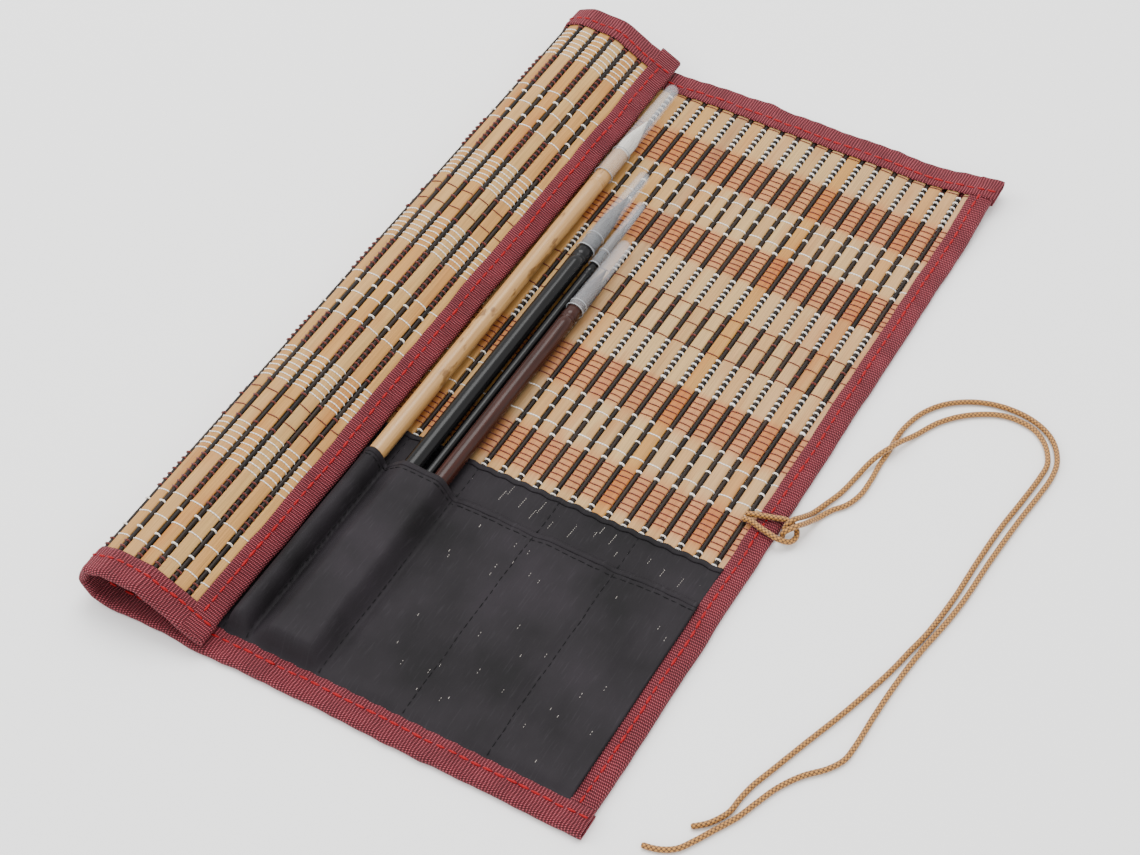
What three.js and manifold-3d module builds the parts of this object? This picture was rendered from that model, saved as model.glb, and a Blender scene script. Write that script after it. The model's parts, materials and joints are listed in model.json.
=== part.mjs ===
// Brush roll case: a mat of bamboo slats woven side by side, bound in tape on four sides, with a
// cloth pocket sewn along one end. The left part of the mat is rolled over itself, four capped
// brushes lie in the pocket, and a doubled tie cord is hitched round the right border.
// Millimetres, +Z up, +Y along the slats, X across them. The mat lies on z = 0.
import * as THREE from "three";
import { mergeVertices } from "three/addons/utils/BufferGeometryUtils.js";
import Module from "manifold-3d";

const wasm = await Module();
wasm.setup();

// Mat: slats lie PITCH apart, and the rolled part bends at the sticks between them.
const MAT_LENGTH = 326.4;
const PITCH = 6.8;
const SLAT_WIDTH = 4.8;
const SLAT_THICKNESS = 1.4;
const SLAT_COUNT = 35;
const FLAT_SLATS = 25;
const RIGHT_EDGE = 93.38;
const FIRST_STICK = RIGHT_EDGE - 12.12;
const ROLL_BENDS_DEG = [16, 46, 50, 46, 24, 0, 26, 0, 0];

// Tape binding: one layer each side of the mat, folded round its edge.
const TAPE = 0.7;
const TAPE_CLEARANCE = 0.2;
const FAR_TAPE_WIDTH = 11.6;
const NEAR_TAPE_WIDTH = 10.9;
const RIGHT_TAPE_WIDTH = 8.75;
const FREE_TAPE_WIDTH = 9.7;
const FREE_EDGE_AFTER_STICK = 6.9;
const GAP = 0.3;

// Pocket: a lining on the slats and a lower front panel, both of thin cloth.
const CLOTH = 0.4;
const LINING_TOP_Y = -52.8;
const PANEL_TOP_Y = -69.6;
const SEAMS = [54.4, 23.7, -7.4, -35.1, -44.0];

// Cord
const CORD_RADIUS = 1.0;

// Levels above the surface that the mat lies on
const SLOT_HALF = SLAT_THICKNESS / 2 + TAPE_CLEARANCE;
const MID_Z = SLOT_HALF + TAPE;
const TAPE_TOP_Z = 2 * MID_Z;
const LINING_Z = MID_Z + SLOT_HALF;
const PANEL_Z = LINING_Z + CLOTH + TAPE_CLEARANCE;

// Edges of the mat and of the tapes
const FAR_Y = MAT_LENGTH / 2;
const NEAR_Y = -FAR_Y;
const FAR_TAPE_Y = FAR_Y - FAR_TAPE_WIDTH;
const NEAR_TAPE_Y = NEAR_Y + NEAR_TAPE_WIDTH;
const RIGHT_TAPE_X = RIGHT_EDGE - RIGHT_TAPE_WIDTH;
const SLAT_END_Y = FAR_Y - TAPE - TAPE_CLEARANCE;
const ROLL_X = FIRST_STICK - (FLAT_SLATS - 1) * PITCH;
const POCKET_Y = NEAR_TAPE_Y + GAP;
const HANDLE_END_Y = POCKET_Y + 4.2;

// Brushes, from left to right. Radii and places along Y; each lies on its own straight line.
const BRUSHES = [
  { name: "bamboo", x: -39.44, radius: 3.25, rim: 3.75, tip: 2.75, capY: 90.5, neckY: 104.2, tuftY: 125.7,
    capTipY: 148.4, colour: 0xc4a284, tuftColour: 0xe6e0d4 },
  { name: "black", x: -25.64, radius: 3.35, rim: 3.7, tip: 2.4, capY: 51.8, neckY: 59.1, tuftY: 85.2,
    capTipY: 99.2, colour: 0x17171a, tuftColour: 0x3a3836 },
  { name: "slim", x: -19.59, radius: 2.0, rim: 2.3, tip: 1.8, capY: 47.7, neckY: 55.3, tuftY: 73.2,
    capTipY: 85.6, colour: 0x141416, tuftColour: 0x4a423a },
  { name: "brown", x: -14.04, radius: 3.1, rim: 3.45, tip: 2.65, capY: 23.5, neckY: 26.3, tuftY: 47.2,
    capTipY: 63.2, colour: 0x624037, tuftColour: 0x2c2624 },
];
const CAP_WALL = 0.3;
const LATHE_SIDES = 20;

const bamboo = new THREE.MeshStandardMaterial({ color: 0xd2ae85, roughness: 0.55, metalness: 0 });
const tape = new THREE.MeshStandardMaterial({ color: 0x8e2f3a, roughness: 0.9, metalness: 0 });
const cloth = new THREE.MeshStandardMaterial({ color: 0x303034, roughness: 0.95, metalness: 0 });
const braid = new THREE.MeshStandardMaterial({ color: 0xc39a55, roughness: 0.7, metalness: 0 });
const clear = new THREE.MeshStandardMaterial({
  color: 0xe8edf0, roughness: 0.12, metalness: 0, transparent: true, opacity: 0.35,
});

const part = new THREE.Group();

function addMesh(parent, name, geometry, material) {
  const mesh = new THREE.Mesh(geometry, material);
  mesh.name = name;
  parent.add(mesh);
  return mesh;
}

// A box given by its two extreme corners.
function boxBetween(low, high) {
  const size = high.map((value, axis) => value - low[axis]);
  const middle = high.map((value, axis) => (value + low[axis]) / 2);
  return new THREE.BoxGeometry(...size).translate(...middle);
}

function toSolid(geometry) {
  const bare = geometry.clone();
  bare.deleteAttribute("normal");
  bare.deleteAttribute("uv");
  const merged = mergeVertices(bare, 1e-4);
  return new wasm.Manifold(new wasm.Mesh({
    numProp: 3,
    vertProperties: new Float32Array(merged.attributes.position.array),
    triVerts: new Uint32Array(merged.index.array),
  }));
}

function toGeometry(solid) {
  const mesh = solid.getMesh();
  const geometry = new THREE.BufferGeometry();
  geometry.setAttribute("position", new THREE.BufferAttribute(mesh.vertProperties, 3));
  geometry.setIndex(new THREE.BufferAttribute(mesh.triVerts, 1));
  geometry.computeVertexNormals();
  return geometry;
}

// A closed sheet between two equal grids of points, grid[row][column].
function thickSheet(bottom, top) {
  const rows = bottom.length;
  const columns = bottom[0].length;
  const points = [...bottom.flat(), ...top.flat()];
  const low = (row, column) => row * columns + column;
  const high = (row, column) => (rows + row) * columns + column;
  const index = [];
  const quad = (a, b, c, d) => index.push(a, b, c, a, c, d);
  for (let row = 0; row + 1 < rows; row++) {
    for (let column = 0; column + 1 < columns; column++) {
      quad(high(row, column), high(row + 1, column), high(row + 1, column + 1), high(row, column + 1));
      quad(low(row, column), low(row, column + 1), low(row + 1, column + 1), low(row + 1, column));
    }
    quad(low(row, 0), low(row + 1, 0), high(row + 1, 0), high(row, 0));
    const last = columns - 1;
    quad(low(row, last), high(row, last), high(row + 1, last), low(row + 1, last));
  }
  for (let column = 0; column + 1 < columns; column++) {
    quad(low(0, column), high(0, column), high(0, column + 1), low(0, column + 1));
    const last = rows - 1;
    quad(low(last, column), low(last, column + 1), high(last, column + 1), high(last, column));
  }
  const geometry = new THREE.BufferGeometry().setFromPoints(points);
  geometry.setIndex(index);
  geometry.computeVertexNormals();
  return geometry;
}

// Stations along the rolled mat, one at each stick: a point of the mat's middle plane and the
// direction across the mat, lengthened at a bend so that the layers keep their thickness.
function rollStations() {
  const stations = [];
  const point = new THREE.Vector3(ROLL_X, 0, MID_Z);
  let angle = 0;
  for (const bend of ROLL_BENDS_DEG.map(THREE.MathUtils.degToRad)) {
    const middle = angle + bend / 2;
    const across = new THREE.Vector3(Math.sin(middle), 0, Math.cos(middle));
    across.divideScalar(Math.cos(bend / 2));
    stations.push({ point: point.clone(), across });
    angle += bend;
    point.add(new THREE.Vector3(-Math.cos(angle), 0, Math.sin(angle)).multiplyScalar(PITCH));
  }
  // The first and last stations draw back, to leave a gap to the flat part and to the free edge.
  const along = (from, to) => to.clone().sub(from).normalize().multiplyScalar(GAP / 2);
  const first = stations[0];
  const last = stations.at(-1);
  const second = stations[1].point;
  const beforeLast = stations.at(-2).point;
  first.point.add(along(first.point, second));
  last.point.add(along(last.point, beforeLast));
  return stations;
}

// Sweeps two outlines [y, offset across the mat] along the stations as one closed sheet.
function sweepRoll(lowOutline, highOutline) {
  const stations = rollStations();
  const grid = (outline) => stations.map(({ point, across }) =>
    outline.map(([y, offset]) => point.clone().addScaledVector(across, offset).setY(y)));
  return thickSheet(grid(lowOutline), grid(highOutline));
}

// Outline of a tape folded round the slats' ends, as [y, offset] points.
function foldOutline(innerY, outerY, half) {
  return [[innerY, -half], [outerY, -half], [outerY, half], [innerY, half]];
}

// A slat, at the middle of its pitch, left of the stick at localStick.
function addSlat(parent, number, localStick) {
  const geometry = new THREE.BoxGeometry(SLAT_WIDTH, 2 * SLAT_END_Y, SLAT_THICKNESS);
  const slat = addMesh(parent, "slat_" + String(number).padStart(2, "0"), geometry, bamboo);
  slat.position.x = localStick - PITCH / 2;
  return slat;
}

function addFlatMat() {
  const flat = new THREE.Group();
  flat.position.z = MID_Z;
  part.add(flat);
  for (let number = 0; number < FLAT_SLATS; number++) {
    addSlat(flat, number, FIRST_STICK - (number - 1) * PITCH);
  }
  const flatEnd = ROLL_X + GAP / 2;
  const slotEnd = FIRST_STICK + PITCH / 2 + SLAT_WIDTH / 2 + GAP;
  const slot = toSolid(boxBetween(
    [flatEnd - 1, -SLAT_END_Y - TAPE_CLEARANCE, -SLOT_HALF],
    [slotEnd, SLAT_END_Y + TAPE_CLEARANCE, SLOT_HALF],
  ));
  const strip = (name, lowX, highX, lowY, highY) => {
    const outer = toSolid(boxBetween([lowX, lowY, -MID_Z], [highX, highY, MID_Z]));
    addMesh(flat, name, toGeometry(outer.subtract(slot)), tape);
  };
  strip("binding_far", flatEnd, RIGHT_EDGE, FAR_TAPE_Y, FAR_Y);
  strip("binding_near", flatEnd, RIGHT_EDGE, NEAR_Y, NEAR_TAPE_Y);
  strip("binding_right", RIGHT_TAPE_X, RIGHT_EDGE, NEAR_TAPE_Y + GAP, FAR_TAPE_Y - GAP);
}

// The free end of the rolled part: its last two slats and the tape folded round three sides.
function addFreeEnd(group) {
  addSlat(group, SLAT_COUNT - 2, 0);
  addSlat(group, SLAT_COUNT - 1, -PITCH);
  const end = -PITCH - FREE_EDGE_AFTER_STICK;
  const slot = toSolid(boxBetween(
    [end + TAPE + TAPE_CLEARANCE, -SLAT_END_Y - TAPE_CLEARANCE, -SLOT_HALF],
    [PITCH, SLAT_END_Y + TAPE_CLEARANCE, SLOT_HALF],
  ));
  const strip = toSolid(boxBetween([end, NEAR_Y, -MID_Z], [end + FREE_TAPE_WIDTH, FAR_Y, MID_Z]));
  const far = toSolid(boxBetween([end, FAR_TAPE_Y, -MID_Z], [-GAP / 2, FAR_Y, MID_Z]));
  const near = toSolid(boxBetween([end, NEAR_Y, -MID_Z], [-GAP / 2, NEAR_TAPE_Y, MID_Z]));
  const edge = strip.add(far).add(near).subtract(slot);
  addMesh(group, "binding_free", toGeometry(edge), tape);
}

function addRoll() {
  let group = part;
  ROLL_BENDS_DEG.forEach((bend, step) => {
    const hinge = new THREE.Group();
    hinge.position.x = step ? -PITCH : ROLL_X;
    hinge.position.z = step ? 0 : MID_Z;
    hinge.rotation.y = THREE.MathUtils.degToRad(bend);
    group.add(hinge);
    group = hinge;
    if (step + 1 < ROLL_BENDS_DEG.length) addSlat(group, FLAT_SLATS + step, 0);
  });
  addFreeEnd(group);
  const folds = [
    ["binding_far_roll", FAR_TAPE_Y, FAR_Y, TAPE + TAPE_CLEARANCE],
    ["binding_near_roll", NEAR_TAPE_Y, NEAR_Y, -TAPE - TAPE_CLEARANCE],
  ];
  for (const [name, innerY, outerY, fold] of folds) {
    const inside = foldOutline(innerY, outerY - fold + Math.sign(fold) * TAPE_CLEARANCE, SLOT_HALF);
    const outside = foldOutline(innerY, outerY, MID_Z);
    const grids = outerY > innerY ? [inside, outside] : [outside, inside];
    addMesh(part, name, sweepRoll(...grids), tape);
  }
  const layers = [
    ["pocket_lining_roll", LINING_TOP_Y, LINING_Z - MID_Z],
    ["pocket_panel_roll", PANEL_TOP_Y, PANEL_Z - MID_Z],
  ];
  for (const [name, topY, level] of layers) {
    const outline = (offset) => [[topY, offset], [POCKET_Y, offset]];
    addMesh(part, name, sweepRoll(outline(level), outline(level + CLOTH)), cloth);
  }
}

// Height of a brush's axis, which rises a little so that its cap clears the far tape.
function axisOf(brush) {
  const low = PANEL_Z + brush.radius;
  const high = TAPE_TOP_Z + GAP + brush.rim;
  const slope = (high - low) / (brush.capY - HANDLE_END_Y);
  return { low, slope, at: (y) => low + slope * (y - HANDLE_END_Y) };
}

// Upper outline of points [x, z] from left to right, as a stretched cloth takes it.
function stretchedOver(points) {
  const sorted = [...points].sort((a, b) => a[0] - b[0]);
  const hull = [];
  for (const p of sorted) {
    while (hull.length > 1) {
      const [a, b] = hull.slice(-2);
      const turn = (b[0] - a[0]) * (p[1] - a[1]) - (b[1] - a[1]) * (p[0] - a[0]);
      if (turn < 0) break;
      hull.pop();
    }
    hull.push(p);
  }
  return hull;
}

// Line of the front panel's underside across the mat: sewn down at the seams, over the brushes.
function panelLine(left, right) {
  const edges = [right, ...SEAMS, left];
  const line = [[left, PANEL_Z]];
  for (let channel = edges.length - 2; channel >= 0; channel--) {
    const low = edges[channel + 1];
    const high = edges[channel];
    const points = [[low, PANEL_Z], [high, PANEL_Z]];
    for (const brush of BRUSHES.filter(({ x }) => x > low && x < high)) {
      const centre = axisOf(brush).at(PANEL_TOP_Y);
      for (let step = 0; step <= 12; step++) {
        const turn = (Math.PI * step) / 12;
        const reach = brush.radius + GAP;
        points.push([brush.x + reach * Math.cos(turn), centre + reach * Math.sin(turn)]);
      }
    }
    line.push(...stretchedOver(points).slice(1));
  }
  return line;
}

function addPocket() {
  const left = ROLL_X + GAP / 2;
  const right = RIGHT_TAPE_X - GAP;
  const lining = boxBetween([left, POCKET_Y, LINING_Z], [right, LINING_TOP_Y, LINING_Z + CLOTH]);
  addMesh(part, "pocket_lining", lining, cloth);

  const line = panelLine(left, right);
  // The panel closes down to the near tape beyond the brushes' ends: [y, share of full height].
  const closing = HANDLE_END_Y - GAP - POCKET_Y;
  const rows = [
    [POCKET_Y, 0],
    [POCKET_Y + 0.3 * closing, 0.45],
    [POCKET_Y + 0.65 * closing, 0.85],
    [POCKET_Y + closing, 1],
    [PANEL_TOP_Y, 1],
  ];
  const bottom = [];
  const top = [];
  for (const [y, share] of rows) {
    const row = line.map(([x, z]) => new THREE.Vector3(x, y, PANEL_Z + share * (z - PANEL_Z)));
    bottom.push(row);
    top.push(row.map((point, i) => {
      const before = row[Math.max(i - 1, 0)];
      const after = row[Math.min(i + 1, row.length - 1)];
      const along = after.clone().sub(before).normalize();
      return point.clone().add(new THREE.Vector3(-along.z, 0, along.x).multiplyScalar(CLOTH));
    }));
  }
  addMesh(part, "pocket_panel", thickSheet(top, bottom), cloth);
}

// A solid of revolution about Y from its [radius, y] profile, which starts and ends on the axis.
function turned(profile) {
  const points = profile.map(([radius, y]) => new THREE.Vector2(radius, y));
  return new THREE.LatheGeometry(points, LATHE_SIDES);
}

function addBrush(brush) {
  const axis = axisOf(brush);
  const group = new THREE.Group();
  group.position.set(brush.x, HANDLE_END_Y, axis.low);
  group.rotation.x = Math.atan(axis.slope);
  part.add(group);
  const along = (y) => y - HANDLE_END_Y;
  const { radius, rim, tip } = brush;
  const neck = rim - CAP_WALL - 0.25;
  const wood = new THREE.MeshStandardMaterial({ color: brush.colour, roughness: 0.3, metalness: 0 });
  const hair = new THREE.MeshStandardMaterial({ color: brush.tuftColour, roughness: 0.9, metalness: 0 });

  const capStart = along(brush.capY);
  const neckEnd = along(brush.neckY);
  addMesh(group, "brush_" + brush.name + "_handle", turned([
    [0, 0], [0.75 * radius, 0], [radius, 0.3 * radius], [radius, capStart - 3],
    [neck, capStart - 1.5], [neck, neckEnd], [0, neckEnd],
  ]), wood);

  const tuftStart = neckEnd + GAP;
  const tuftLength = along(brush.tuftY) - tuftStart;
  addMesh(group, "brush_" + brush.name + "_tuft", turned([
    [0, tuftStart], [0.72 * neck, tuftStart], [0.78 * neck, tuftStart + 0.3 * tuftLength],
    [0.5 * neck, tuftStart + 0.7 * tuftLength], [0, tuftStart + tuftLength],
  ]), hair);

  const capEnd = along(brush.capTipY);
  addMesh(group, "brush_" + brush.name + "_cap", turned([
    [0, capEnd - 1.2], [0.55 * tip, capEnd - 1.4], [tip - CAP_WALL, capEnd - 0.6 * tip],
    [rim - CAP_WALL, capStart], [rim, capStart], [tip, capEnd - 0.5 * tip],
    [0.6 * tip, capEnd - 0.1 * tip], [0, capEnd],
  ]), clear);
}

// A cord tube along a route of [x, y, z] points, with eight sides.
function cordTube(route, steps) {
  const section = new THREE.Shape();
  for (let side = 0; side < 8; side++) {
    const turn = (2 * Math.PI * side) / 8;
    const corner = [CORD_RADIUS * Math.cos(turn), CORD_RADIUS * Math.sin(turn)];
    if (side) section.lineTo(...corner);
    else section.moveTo(...corner);
  }
  const path = new THREE.CatmullRomCurve3(route.map((p) => new THREE.Vector3(...p)), false, "centripetal");
  return new THREE.ExtrudeGeometry(section, { steps, bevelEnabled: false, extrudePath: path });
}

// The doubled cord is hitched round the right border: its bight comes up beside the first slat and
// lies on the tape, and the two tails come up through it, loop out and lie beside the mat.
const TAIL_A = [
  [95.0, -27.2, 1.6], [95.1, -27.2, 4.6], [96.5, -25.0, 6.6], [98.0, -20.2, 4.2], [99.4, -14.6, 1.3],
  [101.6, -8.4, 1.1], [103.8, -1.6, 1.1], [105.2, 6.4, 1.1], [106.6, 13.6, 1.9], [108.7, 18.8, 3.3],
  [110.4, 22.4, 3.6], [112.0, 27.0, 2.9], [114.8, 33.7, 1.3], [120.2, 44.4, 1.1], [128.2, 52.6, 1.1],
  [138.7, 57.8, 1.1], [149.0, 57.0, 1.1], [154.0, 53.8, 1.1], [157.2, 49.8, 1.1], [159.6, 44.2, 1.1],
  [159.6, 37.2, 1.1], [158.4, 25.2, 1.1], [156.6, 10.0, 1.1], [155.6, -5.8, 1.1], [154.9, -24.8, 1.1],
  [153.1, -41.8, 1.1], [151.3, -50.3, 1.1], [149.4, -59.8, 1.1], [147.4, -67.8, 1.1], [143.2, -82.3, 1.1],
  [137.6, -98.8, 1.1], [132.8, -113.3, 1.1], [130.2, -121.2, 1.1], [129.0, -127.4, 1.1],
  [128.4, -132.6, 1.1], [126.6, -136.6, 1.1], [124.2, -140.0, 1.1], [120.6, -143.2, 1.1],
];
const TAIL_B = [
  [95.2, -29.8, 1.6], [95.6, -29.6, 4.6], [98.2, -27.2, 6.4], [100.3, -21.6, 4.0], [101.9, -15.6, 1.3],
  [104.6, -10.0, 1.1], [107.6, -6.0, 1.1], [109.8, 0.4, 1.1], [110.2, 8.6, 1.1], [109.9, 16.2, 1.1],
  [110.1, 22.9, 1.1], [109.8, 29.2, 1.1], [110.4, 36.2, 1.1], [112.9, 44.8, 1.1], [118.0, 52.4, 1.1],
  [125.9, 58.2, 1.1], [135.0, 61.2, 1.1], [145.3, 61.1, 1.1], [153.3, 58.2, 1.1], [158.4, 53.8, 1.1],
  [162.1, 47.0, 1.1], [163.1, 39.9, 1.1], [162.4, 30.1, 1.1], [160.8, 16.2, 1.1], [159.2, -3.3, 1.1],
  [158.0, -24.8, 1.1], [156.3, -37.8, 1.1], [154.7, -46.8, 1.1], [153.6, -54.8, 1.1], [152.6, -64.8, 1.1],
  [151.8, -78.8, 1.1], [151.4, -92.8, 1.1], [150.6, -98.8, 1.1], [147.6, -104.2, 1.1],
  [141.9, -110.4, 1.1], [137.2, -118.0, 1.1], [134.0, -126.1, 1.1], [131.4, -133.2, 1.1],
  [127.1, -141.2, 1.1], [123.8, -147.2, 1.1], [120.4, -152.2, 1.1], [115.8, -155.0, 1.1],
  [110.6, -156.2, 1.1],
];
const BIGHT = [
  [80.6, -27.8, 3.7], [83.6, -27.4, 4.5], [89.5, -25.6, 4.6], [94.6, -24.2, 4.4], [97.9, -24.8, 2.9],
  [99.4, -27.6, 2.5], [98.6, -30.6, 2.6], [95.4, -32.6, 4.0], [91.5, -32.4, 4.6], [87.0, -31.4, 4.6],
  [83.6, -30.4, 4.5], [80.6, -30.2, 3.7],
];

addFlatMat();
addRoll();
addPocket();
BRUSHES.forEach(addBrush);
addMesh(part, "cord_tail_a", cordTube(TAIL_A, 78), braid);
addMesh(part, "cord_tail_b", cordTube(TAIL_B, 80), braid);
addMesh(part, "cord_bight", cordTube(BIGHT, 16), braid);

export default part;
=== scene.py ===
# Brush roll case: a bamboo slat mat in tape bindings, with its pocket, brushes and tie cord.
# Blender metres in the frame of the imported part; the sections' own sizes are in millimetres.
import json
import math
import random
from collections import namedtuple

import bmesh
import bpy
from mathutils import Matrix, Vector, noise


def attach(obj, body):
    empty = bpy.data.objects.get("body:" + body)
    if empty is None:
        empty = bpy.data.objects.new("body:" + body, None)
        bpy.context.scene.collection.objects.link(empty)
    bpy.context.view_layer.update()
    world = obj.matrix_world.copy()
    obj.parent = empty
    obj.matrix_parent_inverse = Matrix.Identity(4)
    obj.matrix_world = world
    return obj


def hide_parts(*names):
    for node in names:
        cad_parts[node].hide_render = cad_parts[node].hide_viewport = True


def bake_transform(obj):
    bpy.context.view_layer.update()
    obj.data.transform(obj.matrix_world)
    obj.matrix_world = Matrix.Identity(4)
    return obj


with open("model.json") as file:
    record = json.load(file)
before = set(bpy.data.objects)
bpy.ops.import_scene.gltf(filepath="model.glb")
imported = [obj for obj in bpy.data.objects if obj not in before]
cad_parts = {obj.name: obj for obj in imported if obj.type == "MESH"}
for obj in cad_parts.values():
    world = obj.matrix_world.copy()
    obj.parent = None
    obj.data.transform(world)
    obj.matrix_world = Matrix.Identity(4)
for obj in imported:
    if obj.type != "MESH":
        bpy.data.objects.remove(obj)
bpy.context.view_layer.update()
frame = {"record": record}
MM = 0.001

# ---- Camera, floor and light -------------------------------------------------------------
# The case lies on a white table under large soft lamps, and is seen from its pocket end,
# from above and to the right, through a long lens.
camera_data = bpy.data.cameras.new("studio_camera")
camera_data.sensor_width = 36.0
camera_data.lens = 75.93
camera_data.clip_start = 0.01
camera = bpy.data.objects.new("studio_camera", camera_data)
bpy.context.scene.collection.objects.link(camera)
CAMERA_PLACE = Vector((0.2814, -0.5008, 0.6240))
CAMERA_AIM = Vector((-0.3268, 0.5764, -0.7489))
camera.location = CAMERA_PLACE
camera.rotation_euler = CAMERA_AIM.to_track_quat("-Z", "Y").to_euler()
bpy.context.scene.camera = camera


def linear(code):
    """A colour given as a six-digit sRGB hex code, as linear RGBA."""
    shares = [int(code[i:i + 2], 16) / 255 for i in (1, 3, 5)]
    return [s / 12.92 if s <= 0.04045 else ((s + 0.055) / 1.055) ** 2.4 for s in shares] + [1.0]


def add(tree, kind, settings=(), inputs=()):
    """Adds a node. Settings are its properties; an input takes a value, a socket, or a node for
    its first output."""
    made = tree.nodes.new(kind)
    for name, value in dict(settings).items():
        setattr(made, name, value)
    for key, value in dict(inputs).items():
        if isinstance(value, bpy.types.Node):
            value = value.outputs[0]
        if isinstance(value, bpy.types.NodeSocket):
            tree.links.new(value, made.inputs[key])
        else:
            made.inputs[key].default_value = value
    return made


def new_material(name, **surface):
    """A material with its one Principled surface; returns it, its tree and the surface node."""
    material = bpy.data.materials.new(name)
    material.use_nodes = True
    tree = material.node_tree
    shader = tree.nodes["Principled BSDF"]
    for key, value in surface.items():
        shader.inputs[key.replace("_", " ")].default_value = value
    return material, tree, shader


def new_piece(name, points, faces, material, smooth=True):
    """A mesh object at the origin from points in metres and faces."""
    mesh = bpy.data.meshes.new(name)
    mesh.from_pydata([tuple(p) for p in points], [], faces)
    mesh.polygons.foreach_set("use_smooth", [smooth] * len(mesh.polygons))
    mesh.update()
    made = bpy.data.objects.new(name, mesh)
    bpy.context.scene.collection.objects.link(made)
    made.data.materials.append(material)
    return made


def mottled(name, stretch, codes, stops=(0.0, 1.0), detail=2.0, bump=(), **surface):
    """A material in two colours mixed by clouds, which a stretch per axis draws out into streaks;
    the clouds may also raise its surface. Returns it, its tree, the surface node and the mix."""
    material, tree, shader = new_material(name, **surface)
    where = add(tree, "ShaderNodeTexCoord")
    place = add(tree, "ShaderNodeMapping", inputs={"Vector": where.outputs["Object"], "Scale": stretch})
    clouds = add(tree, "ShaderNodeTexNoise", inputs={"Vector": place, "Scale": 1.0, "Detail": detail})
    tones = add(tree, "ShaderNodeValToRGB", inputs={"Fac": clouds.outputs["Fac"]})
    for element, stop, code in zip(tones.color_ramp.elements, stops, codes):
        element.position = stop
        element.color = linear(code)
    tree.links.new(tones.outputs["Color"], shader.inputs["Base Color"])
    if bump:
        relief = add(tree, "ShaderNodeBump",
                     inputs={"Height": clouds.outputs["Fac"], "Strength": bump[0], "Distance": bump[1]})
        tree.links.new(relief.outputs[0], shader.inputs["Normal"])
    return material, tree, shader, tones


# White laminate table top: a smooth matt sheet, almost without texture.
table_top, *_ = mottled("white_laminate_table", (3.0, 3.0, 3.0), ("#F4F4F4", "#F9F9F8"),
                        Roughness=0.62, IOR=1.5)
FLOOR_HALF = 6.0
floor = new_piece("table_top", [(x * FLOOR_HALF, y * FLOOR_HALF, 0) for x, y in
                                ((-1, -1), (1, -1), (1, 1), (-1, 1))], [(0, 1, 2, 3)], table_top)

world = bpy.data.worlds.new("studio_air")
bpy.context.scene.world = world
world.use_nodes = True
world.node_tree.nodes["Background"].inputs["Color"].default_value = linear("#FFFFFF")
world.node_tree.nodes["Background"].inputs["Strength"].default_value = 1.35

# name, place, size, watts: a broad lamp overhead, a side lamp from the left and a low back fill
LAMPS = [
    ("overhead_softbox", (-0.25, 0.55, 1.5), 1.1, 26.0),
    ("left_softbox", (-1.3, -0.35, 1.0), 0.9, 14.0),
    ("front_fill", (0.9, -1.3, 1.1), 1.2, 7.0),
]
for name, place, size, watts in LAMPS:
    lamp_data = bpy.data.lights.new(name, "AREA")
    lamp_data.size = size
    lamp_data.energy = watts
    lamp = bpy.data.objects.new(name, lamp_data)
    bpy.context.scene.collection.objects.link(lamp)
    lamp.location = place
    lamp.rotation_euler = (-Vector(place)).to_track_quat("-Z", "Y").to_euler()

# ---- Tie cord ----------------------------------------------------------------------------
# One doubled tie cord, braided of tan and gold rayon yarn with a few brown ones, 2 mm thick.
# It is hitched round the right border beside the first slat, and its two ends are cut bare.
TAIL_A = [
  [95.0, -27.2, 1.6], [95.1, -27.2, 4.6], [96.5, -25.0, 6.6], [98.0, -20.2, 4.2], [99.4, -14.6, 1.3],
  [101.6, -8.4, 1.1], [103.8, -1.6, 1.1], [105.2, 6.4, 1.1], [106.6, 13.6, 1.9], [108.7, 18.8, 3.3],
  [110.4, 22.4, 3.6], [112.0, 27.0, 2.9], [114.8, 33.7, 1.3], [120.2, 44.4, 1.1], [128.2, 52.6, 1.1],
  [138.7, 57.8, 1.1], [149.0, 57.0, 1.1], [154.0, 53.8, 1.1], [157.2, 49.8, 1.1], [159.6, 44.2, 1.1],
  [159.6, 37.2, 1.1], [158.4, 25.2, 1.1], [156.6, 10.0, 1.1], [155.6, -5.8, 1.1], [154.9, -24.8, 1.1],
  [153.1, -41.8, 1.1], [151.3, -50.3, 1.1], [149.4, -59.8, 1.1], [147.4, -67.8, 1.1], [143.2, -82.3, 1.1],
  [137.6, -98.8, 1.1], [132.8, -113.3, 1.1], [130.2, -121.2, 1.1], [129.0, -127.4, 1.1],
  [128.4, -132.6, 1.1], [126.6, -136.6, 1.1], [124.2, -140.0, 1.1], [120.6, -143.2, 1.1],
]
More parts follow.
